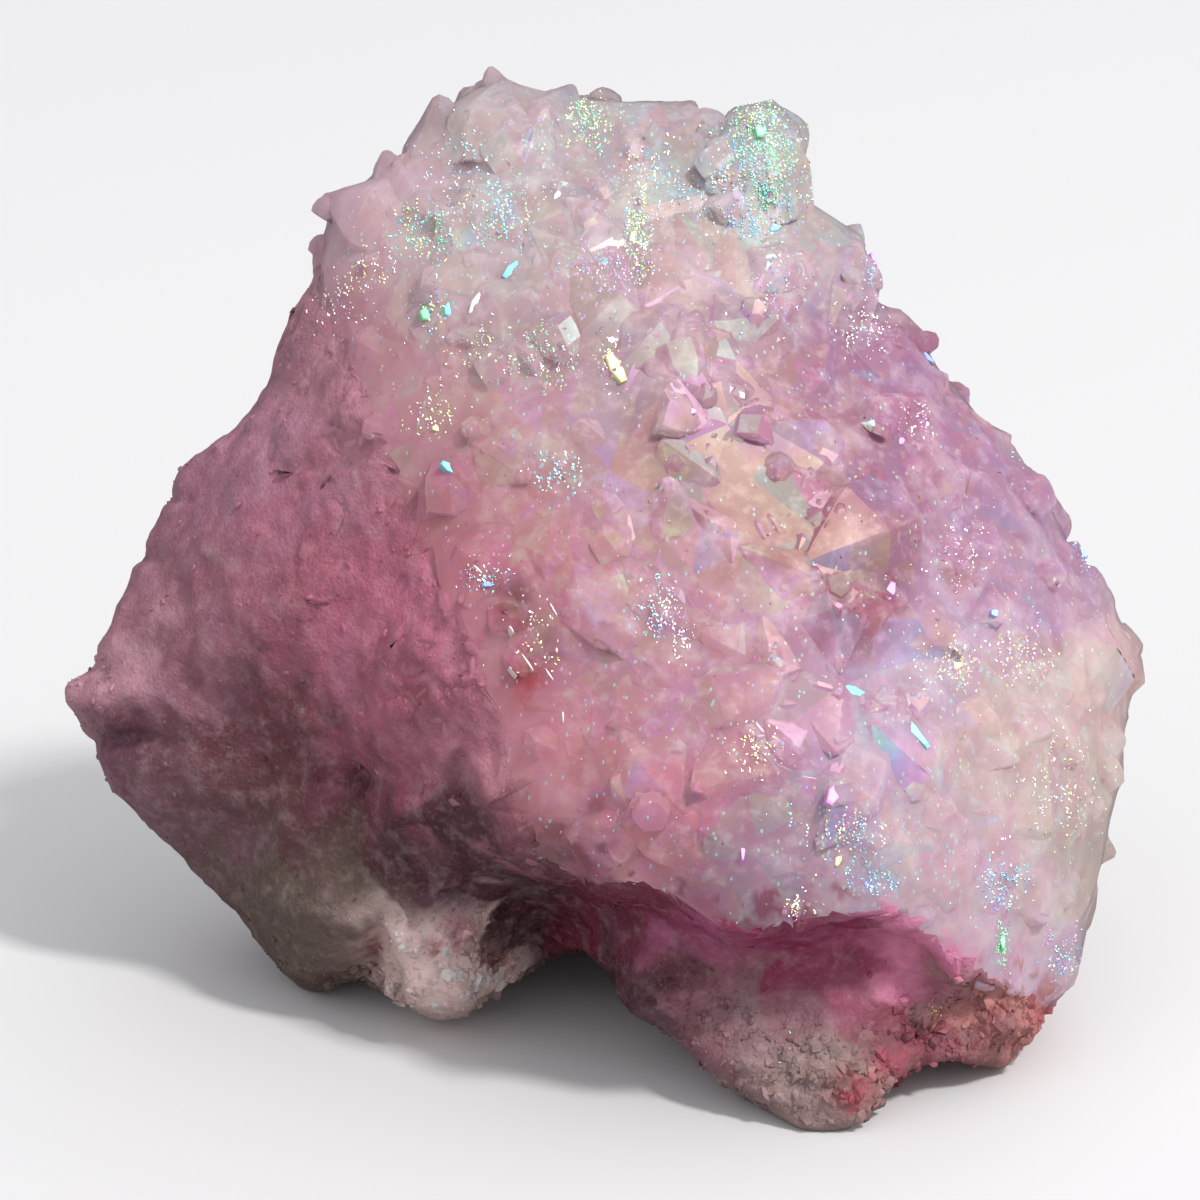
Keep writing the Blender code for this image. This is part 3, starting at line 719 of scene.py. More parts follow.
# The film on the facets.
filmKinds = [  # thickness of the film in nanometres, one material each
    {"name": "gold_film", "thickness": 330}, {"name": "rose_film", "thickness": 400},
    {"name": "violet_film", "thickness": 455}, {"name": "teal_film", "thickness": 540},
]
film = {
    "index": 1.65, "scatter": 0.09, "drift": (0.0, 0.15), "amount": (0.1, 0.75), "broad": 5.0,
    "broadAmount": (0.35, 0.95), "broadRoughness": 0.42, "smallRoughness": (0.3, 0.5),
}
hueFields = [  # which of the film's colours the facets near a place take: (u, v, reach, phase, strength)
    (0, 38, 10, 0.36, 0.45), (13, 37, 8, 0.42, 0.6), (-15, 28, 8, 0.36, 0.35), (-23, 32, 8, 0.96, 0.35),
    (6, 24, 9, 0, 0.6), (-9, 11, 8, 0.1, 0.8), (9, 9, 9, 0.07, 1), (22, 20, 8, 0.88, 0.5),
    (30, 6, 9, 0.88, 0.6), (40, 4, 7, 0.8, 0.45), (22, -10, 7, 0.8, 0.7), (6, -12, 8, 0.03, 0.6),
    (20, 3, 5, 0.07, 1), (-4, -4, 6, 0.12, 0.7), (34, -22, 9, 0.3, 0.3), (16, -24, 7, 0.5, 0.4),
    (41, -12, 7, 0.25, 0.35),
]

# Facets that show clear colours: (u, v, phase at the middle, change across, direction, strength).
showFacets = [
    (19, 3, 0.98, 0.15, 0, 0.95), (4.4, 6.5, 0.1, 0.12, -90, 0.8), (14.6, 11.9, 0, 0.24, -60, 0.7),
    (11.5, 22.5, 0.82, 0.1, 0, 0.6), (-5.7, 26, 0.42, 0.1, 60, 0.6), (23.4, -13.8, 0.72, 0.2, -45, 0.9),
    (-7.1, 39.3, 0.66, 0.34, -30, 1), (18.1, -19.3, 0.88, 0.2, 0, 0.8), (31.5, 1, 0.86, 0.14, 0, 0.6),
    (13, 38, 0.38, 0.2, 90, 0.6), (-14, 30.5, 0.4, 0.16, 0, 0.5),
]


def blendPhases(points, fields):
    # phases go round like a clock, so they are averaged as directions
    total, weights, strengths = 0, 1e-9, 0
    for u, v, reach, phase, strength in fields:
        weight = nearness(points, u, v, reach)
        total = total + weight * np.exp(2j * math.pi * phase)
        weights = weights + weight
        strengths = strengths + weight * strength
    return np.angle(total) / (2 * math.pi) % 1, strengths / weights


def makeTree(mesh):
    points = toFace(readVertices(mesh))
    return BVHTree.FromPolygons([tuple(v) for v in points], [tuple(p.vertices) for p in mesh.polygons])


def skinPoint(tree, u, v):
    # the place on the skin at (u, v), the way it faces and the number of its face
    return tree.ray_cast(Vector((u, v, 100)), Vector((0, 0, -1)))[:3]


def colourFacets(mesh, crusted):
    spread = np.random.default_rng(21)
    points, _, areas = readFaces(mesh)
    groups = readArray(mesh.attributes["facet"].data, "value", kind=np.int32)
    count = groups.max() + 1
    size = np.bincount(groups, areas, count) + 1e-6
    areas += 1e-9
    middle = np.stack([np.bincount(groups, areas * points[:, axis], count) for axis in range(3)], 1)
    middle /= np.bincount(groups, areas, count)[:, None]
    # neighbours share some of their colour, because the film grows in sheets
    phase, share = blendPhases(middle, hueFields)
    phase = (phase + spread.normal(0, film["scatter"], count)) % 1
    amount = spread.uniform(*film["amount"], count)
    isBroad = size > film["broad"]
    amount[isBroad] = spread.uniform(*film["broadAmount"], isBroad.sum())
    amount *= share * (1 - border["film"] * borderFade(middle))
    drift = spread.uniform(*film["drift"], count)
    turn = spread.uniform(0, 2 * math.pi, count)
    tree = makeTree(mesh)
    for u, v, at, across, direction, strength in showFacets:
        index = skinPoint(tree, u, v)[2]
        if index is not None:
            shown = groups[index]
            phase[shown], drift[shown], turn[shown] = at, across, math.radians(direction)
            amount[shown] = strength
    owner, corners, _ = cornerOwners(mesh)
    group = groups[owner]
    away = toFace(readVertices(mesh))[corners] - middle[group]
    along = away[:, 0] * np.cos(turn[group]) + away[:, 1] * np.sin(turn[group])
    across = np.sqrt(np.maximum(size[group], 0.5))
    storeAttribute(mesh, "film", "CORNER", phase[group] + drift[group] * np.clip(2 * along / across, -1, 1))
    storeAttribute(mesh, "filmAmount", "CORNER", amount[group] * crusted[owner])
    gloss = spread.uniform(*film["smallRoughness"], count)
    gloss[isBroad] = film["broadRoughness"]
    storeAttribute(mesh, "dullness", "CORNER", gloss[group])
    kinds = spread.integers(0, len(filmKinds), count)
    kinds[isBroad] = 1 + kinds[isBroad] % 2  # only rose and violet on the broad ones
    return kinds[groups]


def paintBody(body):
    mesh = body.data
    crusted = ~brokenFaces(mesh)
    points = toFace(readVertices(mesh))
    owner, corners, _ = cornerOwners(mesh)
    onCrust, onBroken = zoneColour(points, crustColoursAndLight), zoneColour(points, brokenColoursAndShade)
    fade = borderFade(points)
    storeAttribute(mesh, "veil", "POINT", 1 - fade)
    mixed = border["colour"] * fade[:, None]
    onCrust = onCrust * tone["crust"] * (1 - mixed) + onBroken * tone["broken"] * mixed
    tints = np.where(crusted[owner][:, None], onCrust[corners], onBroken[corners] * tone["broken"])
    storeAttribute(mesh, "tint", "CORNER", tints)
    paintGlintDots(mesh, points)
    slots = np.where(crusted, colourFacets(mesh, crusted), len(filmKinds))
    mesh.materials.clear()
    for kind in filmKinds:
        mesh.materials.append(makeFilmMaterial(kind))
    mesh.materials.append(makeBrokenMaterial())
    mesh.polygons.foreach_set("material_index", slots)
    mesh.update()
    print("lump: painted")


# Painted glints: bright coloured dots painted into the crust's colour as painted highlights, where a druse
# too fine to be seen crystal by crystal would flash.
paintedGlint = {
    "cells": 3900.0, "stretch": (1, 1, 0.55), "loose": 0.025, "most": 0.8, "paint": 0.6, "behind": -24,
    "patchy": (0.6, 1.6, 31), "spread": 1.6,
}
paintedGlintFields = [  # (u, v, reach, phase, share of the cells painted as glints)
    (12.8, 38.4, 4, 0.4, 1), (13.5, 33, 3, 0.44, 0.8), (-2.2, 40.6, 1.8, 0.32, 0.9),
    (-10.2, 32.2, 3.4, 0.42, 0.6), (-16.4, 30.4, 2.8, 0.38, 0.8), (2, 29, 1.6, 0.3, 0.9),
    (2, 32, 1.4, 0.34, 0.8), (7, 34, 3.6, 0.5, 0.4), (11.5, 30.9, 2.2, 0.58, 0.7), (-1, 27, 3, 0.62, 0.7),
    (-7.1, 39, 2, 0.58, 0.9), (-15.9, 23.4, 1.8, 0.4, 0.7), (-6.2, 18.9, 3, 0.36, 0.4),
    (-4.9, 9.2, 2.4, 0.45, 0.4), (3.5, -2.4, 1.8, 0.5, 0.7), (19.2, -20.9, 3.6, 0.36, 0.5),
    (21.7, -25, 2.6, 0.56, 0.8), (32.7, -25.7, 2.4, 0.6, 1), (33.2, -30.6, 0.9, 0.4, 1),
    (39.5, -32.6, 2.2, 0.66, 0.9), (28.7, -6.7, 3, 0.28, 0.5), (35, -5.8, 2.6, 0.24, 0.4),
    (22.5, 27.5, 1.4, 0.66, 0.8), (21.7, 22.5, 2.2, 0.4, 0.4), (42.2, 3, 1.4, 0.6, 0.7),
    (36.7, 11.9, 1.4, 0.56, 0.6), (38, -18, 4.5, 0.28, 0.25), (25, -22, 5, 0.34, 0.25),
    (-10.5, 0, 2, 0.68, 0.4), (-16, 26.5, 4, 0.36, 0.35), (0, 36, 6, 0.46, 0.25),
    (14.8, -40.6, 0.9, 0.4, 0.6), (-12.6, -34.2, 1, 0.28, 0.5),
]


def paintGlintDots(mesh, points):
    # how many cells get a painted glint, and in which of the film's colours
    wider = [(u, v, paintedGlint["spread"] * reach, at, share) for u, v, reach, at, share in paintedGlintFields]
    amount = np.zeros(len(points))
    for u, v, reach, _, share in paintedGlintFields:
        amount = np.maximum(amount, share * np.exp(-awayFrom(points, u, v, reach) ** 1.5))
    patchy = np.clip(0.55 + waver(points * (1, 0.5, 1), *paintedGlint["patchy"]), 0, 1)
    amount = paintedGlint["most"] * amount * patchy + paintedGlint["loose"]
    storeAttribute(mesh, "paintedGlint", "POINT", amount * (points[:, 2] > paintedGlint["behind"]))
    storeAttribute(mesh, "paintedGlintPhase", "POINT", blendPhases(points, wider)[0])


# What the quartz, its film and its broken side are made of.
surface = {
    "index": 1.54, "glow": 0.35, "glowDepth": 0.005, "glowColour": (1.0, 0.62, 0.68),
    "clouds": ((190.0, 0.4, 0.1), (720.0, 0.35, 0.12)),  # size, most light and dark of the crust's clouds
}
brokenSurface = {
    "roughness": (0.42, 0.62), "specular": 0.35, "grain": 3000.0, "bump": (0.6, 0.0004),
    "clouds": (  # size, light, dark, colour of the light and of the dark
        (130.0, 0.22, 0.3, (0.46, 0.26, 0.40, 1), (0.13, 0.09, 0.08, 1)),
        (640.0, 0.24, 0.3, (0.70, 0.50, 0.54, 1), (0.14, 0.04, 0.07, 1)),
    ),
    "grains": (("Bright", 0.05, (0.86, 0.74, 0.76, 1)), ("Speck", 0.5, (0.10, 0.05, 0.06, 1))),
}
paintedGlintColours = [  # the same colours as filmColours, as clear as in the flash of a small grain, for the painted glints
    (0, (1, 0.66, 0.8)), (0.14, (1, 0.74, 0.55)), (0.28, (1, 0.97, 0.6)), (0.42, (0.5, 1, 0.62)),
    (0.56, (0.45, 0.92, 1)), (0.7, (0.5, 0.6, 1)), (0.86, (0.92, 0.56, 1)), (1, (1, 0.66, 0.8)),
]
filmColours = [  # the film's colours in turn, round to the first again
    (0, (0.72, 0.38, 0.52)), (0.14, (0.8, 0.42, 0.34)), (0.28, (0.76, 0.66, 0.42)), (0.42, (0.46, 0.7, 0.56)),
    (0.56, (0.36, 0.6, 0.8)), (0.7, (0.42, 0.4, 0.84)), (0.86, (0.68, 0.34, 0.76)), (1, (0.72, 0.38, 0.52)),
]


def feed(tree, node, inputs):
    # each input is given a value, or wired to another node's output
    for name, value in inputs.items():
        if isinstance(value, bpy.types.NodeSocket):
            tree.links.new(value, node.inputs[name])
        else:
            node.inputs[name].default_value = value
    return node


def addNode(tree, kind, inputs=None, **settings):
    node = tree.nodes.new("ShaderNode" + kind)
    for name, value in settings.items():
        setattr(node, name, value)
    return feed(tree, node, inputs or {})


def meshValue(tree, name, output="Fac"):
    # what the mesh carries under a name
    return addNode(tree, "Attribute", attribute_name=name).outputs[output]


def compute(tree, operation, *values):
    return addNode(tree, "Math", dict(enumerate(values)), operation=operation).outputs[0]


def remap(tree, value, fromMin, fromMax, toMin=0.0, toMax=1.0):
    inputs = {"Value": value, "From Min": fromMin, "From Max": fromMax, "To Min": toMin, "To Max": toMax}
    return addNode(tree, "MapRange", inputs).outputs[0]


def mix(tree, amount, below, above, blend="MIX"):
    inputs = {0: amount, 6: below, 7: above}
    return addNode(tree, "Mix", inputs, data_type="RGBA", blend_type=blend).outputs[2]


def ramp(tree, at, stops):
    node = addNode(tree, "ValToRGB", {"Fac": at})
    elements = node.color_ramp.elements
    while len(elements) > 1:
        elements.remove(elements[-1])
    elements[0].position, elements[0].color = stops[0][0], (*stops[0][1], 1)
    for position, colour in stops[1:]:
        elements.new(position).color = (*colour, 1)
    return node.outputs["Color"]


def startGroup(name, inputs, outputs):
    tree = bpy.data.node_groups.new(name, "ShaderNodeTree")
    for label, kind, value in inputs:
        socket = tree.interface.new_socket(label, in_out="INPUT", socket_type="NodeSocket" + kind)
        socket.default_value = value
    for label, kind in outputs:
        tree.interface.new_socket(label, in_out="OUTPUT", socket_type="NodeSocket" + kind)
    start, end = tree.nodes.new("NodeGroupInput"), tree.nodes.new("NodeGroupOutput")
    return tree, start, end


def makeFilmGroup():
    # pastel colour of the film from its phase, laid over the quartz by its amount
    tree, start, end = startGroup(
        "filmColour", [("Quartz", "Color", (0.8, 0.8, 0.8, 1))], [("Color", "Color")])
    quartz, place = start.outputs["Quartz"], addNode(tree, "TexCoord").outputs["Object"]
    drift = addNode(tree, "TexNoise", {"Vector": place, "Scale": 420.0, "Detail": 2.0, "Roughness": 0.6})
    shift = compute(tree, "MULTIPLY_ADD", drift.outputs["Fac"], 0.35, -0.17)
    turn = compute(tree, "FRACT", compute(tree, "ADD", meshValue(tree, "film"), shift))
    # takes the film's hue and keeps the quartz as light as it is
    hue = mix(tree, 0.8, quartz, ramp(tree, turn, filmColours), "COLOR")
    feed(tree, end, {"Color": mix(tree, meshValue(tree, "filmAmount"), quartz, hue)})
    return tree


def makeMottleGroup():
    # cloudy patches and veils in milky quartz
    tree, start, end = startGroup(
        "milkyClouds",
        [("Color", "Color", (0.8, 0.8, 0.8, 1)), ("Size", "Float", 250.0), ("Light", "Float", 0.25),
         ("Dark", "Float", 0.25), ("Light Color", "Color", (0.9, 0.78, 0.8, 1)),
         ("Dark Color", "Color", (0.3, 0.1, 0.16, 1))],
        [("Color", "Color"), ("Cloud", "Float")])
    place, colour = addNode(tree, "TexCoord").outputs["Object"], start.outputs["Color"]
    look = {"Scale": start.outputs["Size"], "Detail": 5.0, "Roughness": 0.6, "Distortion": 0.15}
    cloud = addNode(tree, "TexNoise", {"Vector": place, **look}).outputs["Fac"]
    for shade, full in (("Light", 0.72), ("Dark", 0.30)):
        amount = compute(tree, "MULTIPLY", remap(tree, cloud, 0.5, full), start.outputs[shade])
        colour = mix(tree, amount, colour, start.outputs[shade + " Color"])
    feed(tree, end, {"Color": colour, "Cloud": cloud})
    return tree


def makeSugarGroup():
    # sugary grain: a height for the bump, and masks of bright grains and dark specks
    tree, start, end = startGroup(
        "sugarGrain", [("Grain", "Float", 1600.0)],
        [("Height", "Float"), ("Bright", "Float"), ("Speck", "Float")])
    place, grain = addNode(tree, "TexCoord").outputs["Object"], start.outputs["Grain"]
    grains = addNode(tree, "TexVoronoi", {"Vector": place, "Scale": grain}, feature="F1")
    look = {"Scale": compute(tree, "MULTIPLY", grain, 0.45), "Detail": 6.0, "Roughness": 0.7}
    dust = addNode(tree, "TexNoise", {"Vector": place, **look}).outputs["Fac"]
    chance = addNode(tree, "SeparateColor", {0: grains.outputs["Color"]}).outputs[0]
    low = compute(tree, "MULTIPLY", grains.outputs["Distance"], 0.35)
    feed(tree, end, {
        "Height": compute(tree, "SUBTRACT", dust, low),
        "Bright": remap(tree, chance, 0.72, 0.95),
        "Speck": remap(tree, dust, 0.36, 0.28),
    })
    return tree


def makePaintedGlintGroup():
    # painted glints: a mask of the cells painted as flashing, and the colour each is painted in
    tree, start, end = startGroup(
        "paintedGlintDots", [("Grain", "Float", 3600.0)], [("Mask", "Float"), ("Color", "Color")])
    place = addNode(tree, "TexCoord").outputs["Object"]
    upright = addNode(tree, "VectorMath", {0: place, 1: paintedGlint["stretch"]}, operation="MULTIPLY").outputs[0]
    cells = addNode(tree, "TexVoronoi", {"Vector": upright, "Scale": start.outputs["Grain"]}, feature="F1")
    chance = addNode(tree, "TexWhiteNoise", {"Vector": cells.outputs["Position"]}, noise_dimensions="3D")
    split = addNode(tree, "SeparateColor", {0: chance.outputs["Color"]})
    chosen = compute(tree, "LESS_THAN", split.outputs[0], meshValue(tree, "paintedGlint"))
    core = remap(tree, cells.outputs["Distance"], 0.52, 0.40)
    phase = compute(tree, "MULTIPLY_ADD", split.outputs[1], 0.36, meshValue(tree, "paintedGlintPhase"))
    feed(tree, end, {"Mask": compute(tree, "MULTIPLY", chosen, core),
                     "Color": ramp(tree, compute(tree, "FRACT", phase), paintedGlintColours)})
    return tree


groups = {}


def useGroup(tree, maker, inputs):
    if maker not in groups:
        groups[maker] = maker()
    node = tree.nodes.new("ShaderNodeGroup")
    node.node_tree = groups[maker]
    return feed(tree, node, inputs)


def startMaterial(name):
    material = bpy.data.materials.new(name)
    material.use_nodes = True
    return material, material.node_tree, material.node_tree.nodes["Principled BSDF"]


def filmInputs(tree, thickness, index):
    return {
        "Roughness": meshValue(tree, "dullness"),
        "IOR": surface["index"],
        "Thin Film Thickness": thickness,
        "Thin Film IOR": index,
    }


def makeFilmMaterial(kind):
    material, tree, shader = startMaterial(kind["name"])
    veil, colour = meshValue(tree, "veil"), meshValue(tree, "tint", "Color")
    for size, most, dark in surface["clouds"]:
        light = compute(tree, "MULTIPLY", veil, most)
        clouds = {"Color": colour, "Size": size, "Light": light, "Dark": dark}
        colour = useGroup(tree, makeMottleGroup, clouds).outputs["Color"]
    colour = useGroup(tree, makeFilmGroup, {"Quartz": colour}).outputs["Color"]
    grains = useGroup(tree, makePaintedGlintGroup, {"Grain": paintedGlint["cells"]})
    # the painted glints lighten the base colour in dots, as painted highlights
    paintedGlintAmount = compute(tree, "MULTIPLY", grains.outputs["Mask"], paintedGlint["paint"])
    feed(tree, shader, {
        "Base Color": mix(tree, paintedGlintAmount, colour, grains.outputs["Color"]),
        "Subsurface Weight": surface["glow"],
        "Subsurface Radius": surface["glowColour"],
        "Subsurface Scale": surface["glowDepth"],
        **filmInputs(tree, kind["thickness"], film["index"]),
    })
    return material


def makeGlitterMaterial(kind):
    # small grains: those that flash are bright and metallic, the others are as milky as what they grow from
    material, tree, shader = startMaterial(kind["name"])
    feed(tree, shader, {
        "Base Color": meshValue(tree, "tint", "Color"),
        "Metallic": meshValue(tree, "metal"),
        **filmInputs(tree, kind["thickness"], glitter["index"]),
    })
    return material


def makeBrokenMaterial():
    material, tree, shader = startMaterial("broken_quartz")
    colour = meshValue(tree, "tint", "Color")
    for size, light, dark, lightColour, darkColour in brokenSurface["clouds"]:
        clouds = useGroup(tree, makeMottleGroup, {"Color": colour, "Size": size, "Light": light, "Dark": dark,
                                                  "Light Color": lightColour, "Dark Color": darkColour})
        colour = clouds.outputs["Color"]
    sugar = useGroup(tree, makeSugarGroup, {"Grain": brokenSurface["grain"]})
    for mask, strength, over in brokenSurface["grains"]:
        colour = mix(tree, compute(tree, "MULTIPLY", sugar.outputs[mask], strength), colour, over)
    strength, depth = brokenSurface["bump"]
    bump = {"Height": sugar.outputs["Height"], "Strength": strength, "Distance": depth}
    feed(tree, shader, {
        "Base Color": colour,
        "Normal": addNode(tree, "Bump", bump).outputs["Normal"],
        "Roughness": remap(tree, clouds.outputs["Cloud"], 0.3, 0.7, *brokenSurface["roughness"]),
        "IOR": surface["index"],
        "Specular IOR Level": brokenSurface["specular"],
    })
    return material


paintBody(body)
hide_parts(solidName)
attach(body, "root")


# Glitter: the smallest crystals, which flash one by one.
glitterFilms = [  # thin films of clear colours, by thickness in nanometres, and the colour they flash in
    {"name": "blue_glitter", "thickness": 152, "colour": (0.34, 0.52, 1.0)},
    {"name": "cyan_glitter", "thickness": 166, "colour": (0.34, 0.88, 1.0)},
    {"name": "green_glitter", "thickness": 181, "colour": (0.40, 1.0, 0.50)},
    {"name": "gold_glitter", "thickness": 203, "colour": (1.0, 0.92, 0.44)},
    {"name": "magenta_glitter", "thickness": 236, "colour": (0.92, 0.46, 1.0)},
    {"name": "pearl_glitter", "thickness": 70, "colour": (1.0, 0.96, 0.94)},
]
blue, cyan, green, gold, magenta, pearl = range(6)
glitter = {
    "length": (0.08, 0.36), "width": (0.06, 0.17), "thickness": 0.15, "proud": (0.02, 0.07), "aim": 10,
    "streak": 0.12, "inStreak": (2, 6), "streakStep": (0.2, 0.4), "streakWander": 0.09, "upright": 45,
    "more": 1.7, "jitter": 0.05,
    "loose": 700, "looseSize": (0.6, 0.7), "leftOut": 0.5, "dullness": (0.3, 0.5), "metal": 0.65,
    "index": 1.9,
}
druse = {
    "radius": (0.1, 0.3), "rise": (-0.05, 0.02), "lean": 24, "along": (88, 92), "share": 0.45, "loose": 900,
    "dullness": (0.4, 0.55),
}
faceSpan = {"u": (-32, 47), "v": (-38, 48), "gather": 0.7}
patches = [  # (u, v, reach across, reach up, how many, films)
    (12.8, 38.4, 2.4, 3.8, 420, (green, green, gold, cyan)), (13.5, 33.5, 2, 2.4, 120, (green, cyan)),
    (-2.2, 40.6, 1.3, 2, 120, (gold, green)), (-10.2, 32.2, 3, 2.6, 140, (pearl, green, cyan)),
    (-16.4, 30.4, 2.2, 2, 140, (green, gold, cyan)), (2, 30, 0.9, 3.6, 170, (pearl, gold, green)),
    (7, 34, 3.2, 1.8, 80, (pearl, cyan)), (11.5, 30.9, 2, 1.3, 60, (blue, cyan)),
    (-1, 27, 2.6, 1.2, 60, (blue, magenta, cyan)), (-15.9, 23.4, 1.4, 1.4, 40, (green, gold, blue)),
    (-6.2, 18.9, 2.2, 1.8, 70, (pearl, green)), (-12, 20, 2, 1.6, 40, (pearl, gold)),
    (-0.5, 18.8, 1, 1.4, 40, (pearl, gold, cyan)), (-4.9, 9.2, 1.8, 1.2, 50, (pearl, cyan)),
    (-15.5, 14.5, 1.6, 1.2, 40, (gold, pearl)), (3.5, -2.4, 1.2, 2, 70, (pearl, cyan)),
    (5.4, -4.6, 0.8, 1.2, 30, (pearl,)), (-11, 0.6, 1.6, 1, 45, (magenta, cyan, pearl)),
    (-6.8, -4.5, 1.4, 2.8, 30, (pearl, gold)), (11.9, -13.8, 1.8, 1.6, 60, (pearl, gold)),
    (19.2, -20.9, 2.6, 1.8, 80, (gold, cyan, pearl)), (21.7, -25, 2.2, 0.9, 60, (cyan, blue)),
    (32.7, -25.7, 1.8, 1.8, 90, (cyan, blue, pearl)), (33.2, -30.6, 0.5, 1.6, 40, (green,)),
    (39.5, -32.6, 1.6, 1.6, 60, (blue, magenta, cyan)), (28.7, -6.7, 2.6, 1.8, 80, (gold, pearl)),
    (35, -5.8, 2, 2, 60, (gold, pearl, magenta)), (36.7, 11.9, 1.2, 0.9, 30, (cyan, green)),
    (42.2, 3, 0.8, 1.4, 30, (cyan, magenta)), (22.5, 27.8, 0.7, 1.6, 25, (cyan, magenta)),
    (21.7, 22.5, 1.8, 2.2, 60, (pearl,)), (38, -18, 3.6, 4, 90, (pearl, gold)),
    (26, 14.5, 1.4, 2, 40, (pearl, magenta)), (-24, 24, 2, 2.2, 40, (pearl,)),
    (-21.5, 27.5, 1.6, 1.4, 40, (pearl, gold)), (30, 2.5, 2.6, 3, 50, (magenta, pearl)),
    (14.5, 25, 2.4, 2.4, 40, (pearl, blue)), (-14, 36.5, 2.6, 1.8, 50, (pearl, cyan)),
    (3, 36.5, 2.4, 1.6, 50, (pearl, cyan, gold)), (15, -27, 1.6, 0.8, 25, (pearl, gold)),
    (-12.6, -34.2, 1.4, 0.6, 30, (gold, green)), (14.8, -40.6, 0.5, 0.8, 14, (green,)),
    (27.8, -37, 0.6, 0.5, 14, (gold,)),
]


def halfWay():
    # the way a facet faces when it throws the key light at the viewer
    towards = Vector(lamps[0]["from"]).normalized()
    elevation = math.radians(view["elevation"])
    back = Vector((0, -math.cos(elevation), math.sin(elevation)))
    return Vector(faceAxes @ np.array((towards + back).normalized()))


def makeFlake():
    return makePrism(0.5, 1, bpy.ops.mesh.bevel, offset=0.08, segments=1, affect="EDGES")


def finishGrains(piece, shape, kinds, dullness, metals):
    # one film, one gloss and one colour for each grain
    mesh = piece.data
    for kind in glitterFilms:
        mesh.materials.append(glitterMaterials[kind["name"]])
    mesh.polygons.foreach_set("material_index", np.repeat(kinds, len(shape[1])))
    flashes = np.array([kind["colour"] for kind in glitterFilms])[kinds]
    milky = (zoneColour(toFace(readVertices(mesh)), crustColoursAndLight) * tone["crust"])[::len(shape[0])]
    tints = np.where(metals[:, None] > 0.1, flashes, milky)
    corners = sum(len(polygon) for polygon in shape[1])
    for name, values in (("tint", tints), ("metal", metals), ("dullness", dullness)):
        storeAttribute(mesh, name, "CORNER", np.repeat(values, corners, axis=0))
    mesh.update()
    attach(piece, "root")


def placePlate(at, up, direction, size, proud):
    # a flat plate with its face turned the way up, and its length along the direction in degrees
    along = Vector((math.cos(math.radians(direction)), math.sin(math.radians(direction)), 0))
    along = (along - up * along.dot(up)).normalized()
    turn = Matrix((along, up.cross(along), up)).transposed().to_4x4()
    return Matrix.Translation(at + up * proud) @ turn @ Matrix.Diagonal((*size, 1))


def nearSpot(rng, u, v, across, up):
    return rng.gauss(u, across * faceSpan["gather"]), rng.gauss(v, up * faceSpan["gather"])


def anywhere(rng):
    return rng.uniform(*faceSpan["u"]), rng.uniform(*faceSpan["v"])


def onCrustFace(u, v):
    return insideOutline(np.array([[u, v]]), crustOutline)[0]


def glitterSpots(rng):
    # in the patches many grains stand in short upright streaks
    for u, v, across, up, count, films in patches:
        left = howMany(int(glitter["more"] * count))
        while left > 0:
            (startU, startV), kind = nearSpot(rng, u, v, across, up), rng.choice(films)
            length = rng.randint(*glitter["inStreak"]) if rng.random() < glitter["streak"] else 1
            for place in range(length):
                beside = rng.gauss(0, glitter["streakWander"])
                above = rng.uniform(*glitter["streakStep"]) * place
                yield startU + beside, startV + above, kind, True
            left -= length
    for _ in range(howMany(glitter["loose"])):
        yield *anywhere(rng), rng.choice((pearl, pearl, pearl, gold, cyan, magenta)), False


def makeGlitter(tree):
    rng, aim, shape = random.Random(12), halfWay(), makeFlake()
    places, kinds = [], []
    for u, v, kind, inPatch in glitterSpots(rng):
        at = skinPoint(tree, u, v)[0]
        if at is None or not (inPatch or onCrustFace(u, v)):
            continue
        size = [rng.uniform(*glitter["length"]), rng.uniform(*glitter["width"]), glitter["thickness"]]
        if not inPatch:
            size[:2] = size[0] * glitter["looseSize"][0], size[1] * glitter["looseSize"][1]
            if rng.random() < glitter["leftOut"]:
                continue
        direction = 90 + rng.gauss(0, glitter["upright"])
        up = leaning(aim, 0, glitter["aim"], rng)
        places.append(placePlate(at, up, direction, size, rng.uniform(*glitter["proud"])))
        kinds.append(kind)
    piece = meshFromCopies("glitter", shape, places, glitter["jitter"])
    dullness = np.random.default_rng(3).uniform(*glitter["dullness"], len(places))
    finishGrains(piece, shape, np.array(kinds), dullness, np.full(len(places), glitter["metal"]))
    print("glitter:", len(places), "grains")


def makeDruse(tree):
    rng, shape = random.Random(14), makeCrystal()
    spots = []
    for *place, count, _ in patches:
        spots += [nearSpot(rng, *place) for _ in range(howMany(int(count * druse["share"])))]
    spots += [anywhere(rng) for _ in range(howMany(druse["loose"]))]
    places = []
    for u, v in spots:
        at, normal, _ = skinPoint(tree, u, v)
        if at is None or not onCrustFace(u, v):
            continue
        facet = leaning(normal, 0, druse["lean"], rng)
        along = leaning(facet, *druse["along"], rng)
        radius, rise = rng.uniform(*druse["radius"]), rng.uniform(*druse["rise"])
        places.append(placeLying(radius, at, facet, along, rise))
    piece = meshFromCopies("druse", shape, places)
    spread = np.random.default_rng(6)
    kinds = spread.integers(0, len(glitterFilms), len(places))
    finishGrains(piece, shape, kinds, spread.uniform(*druse["dullness"], len(places)), np.zeros(len(places)))
    print("druse:", len(places), "grains")


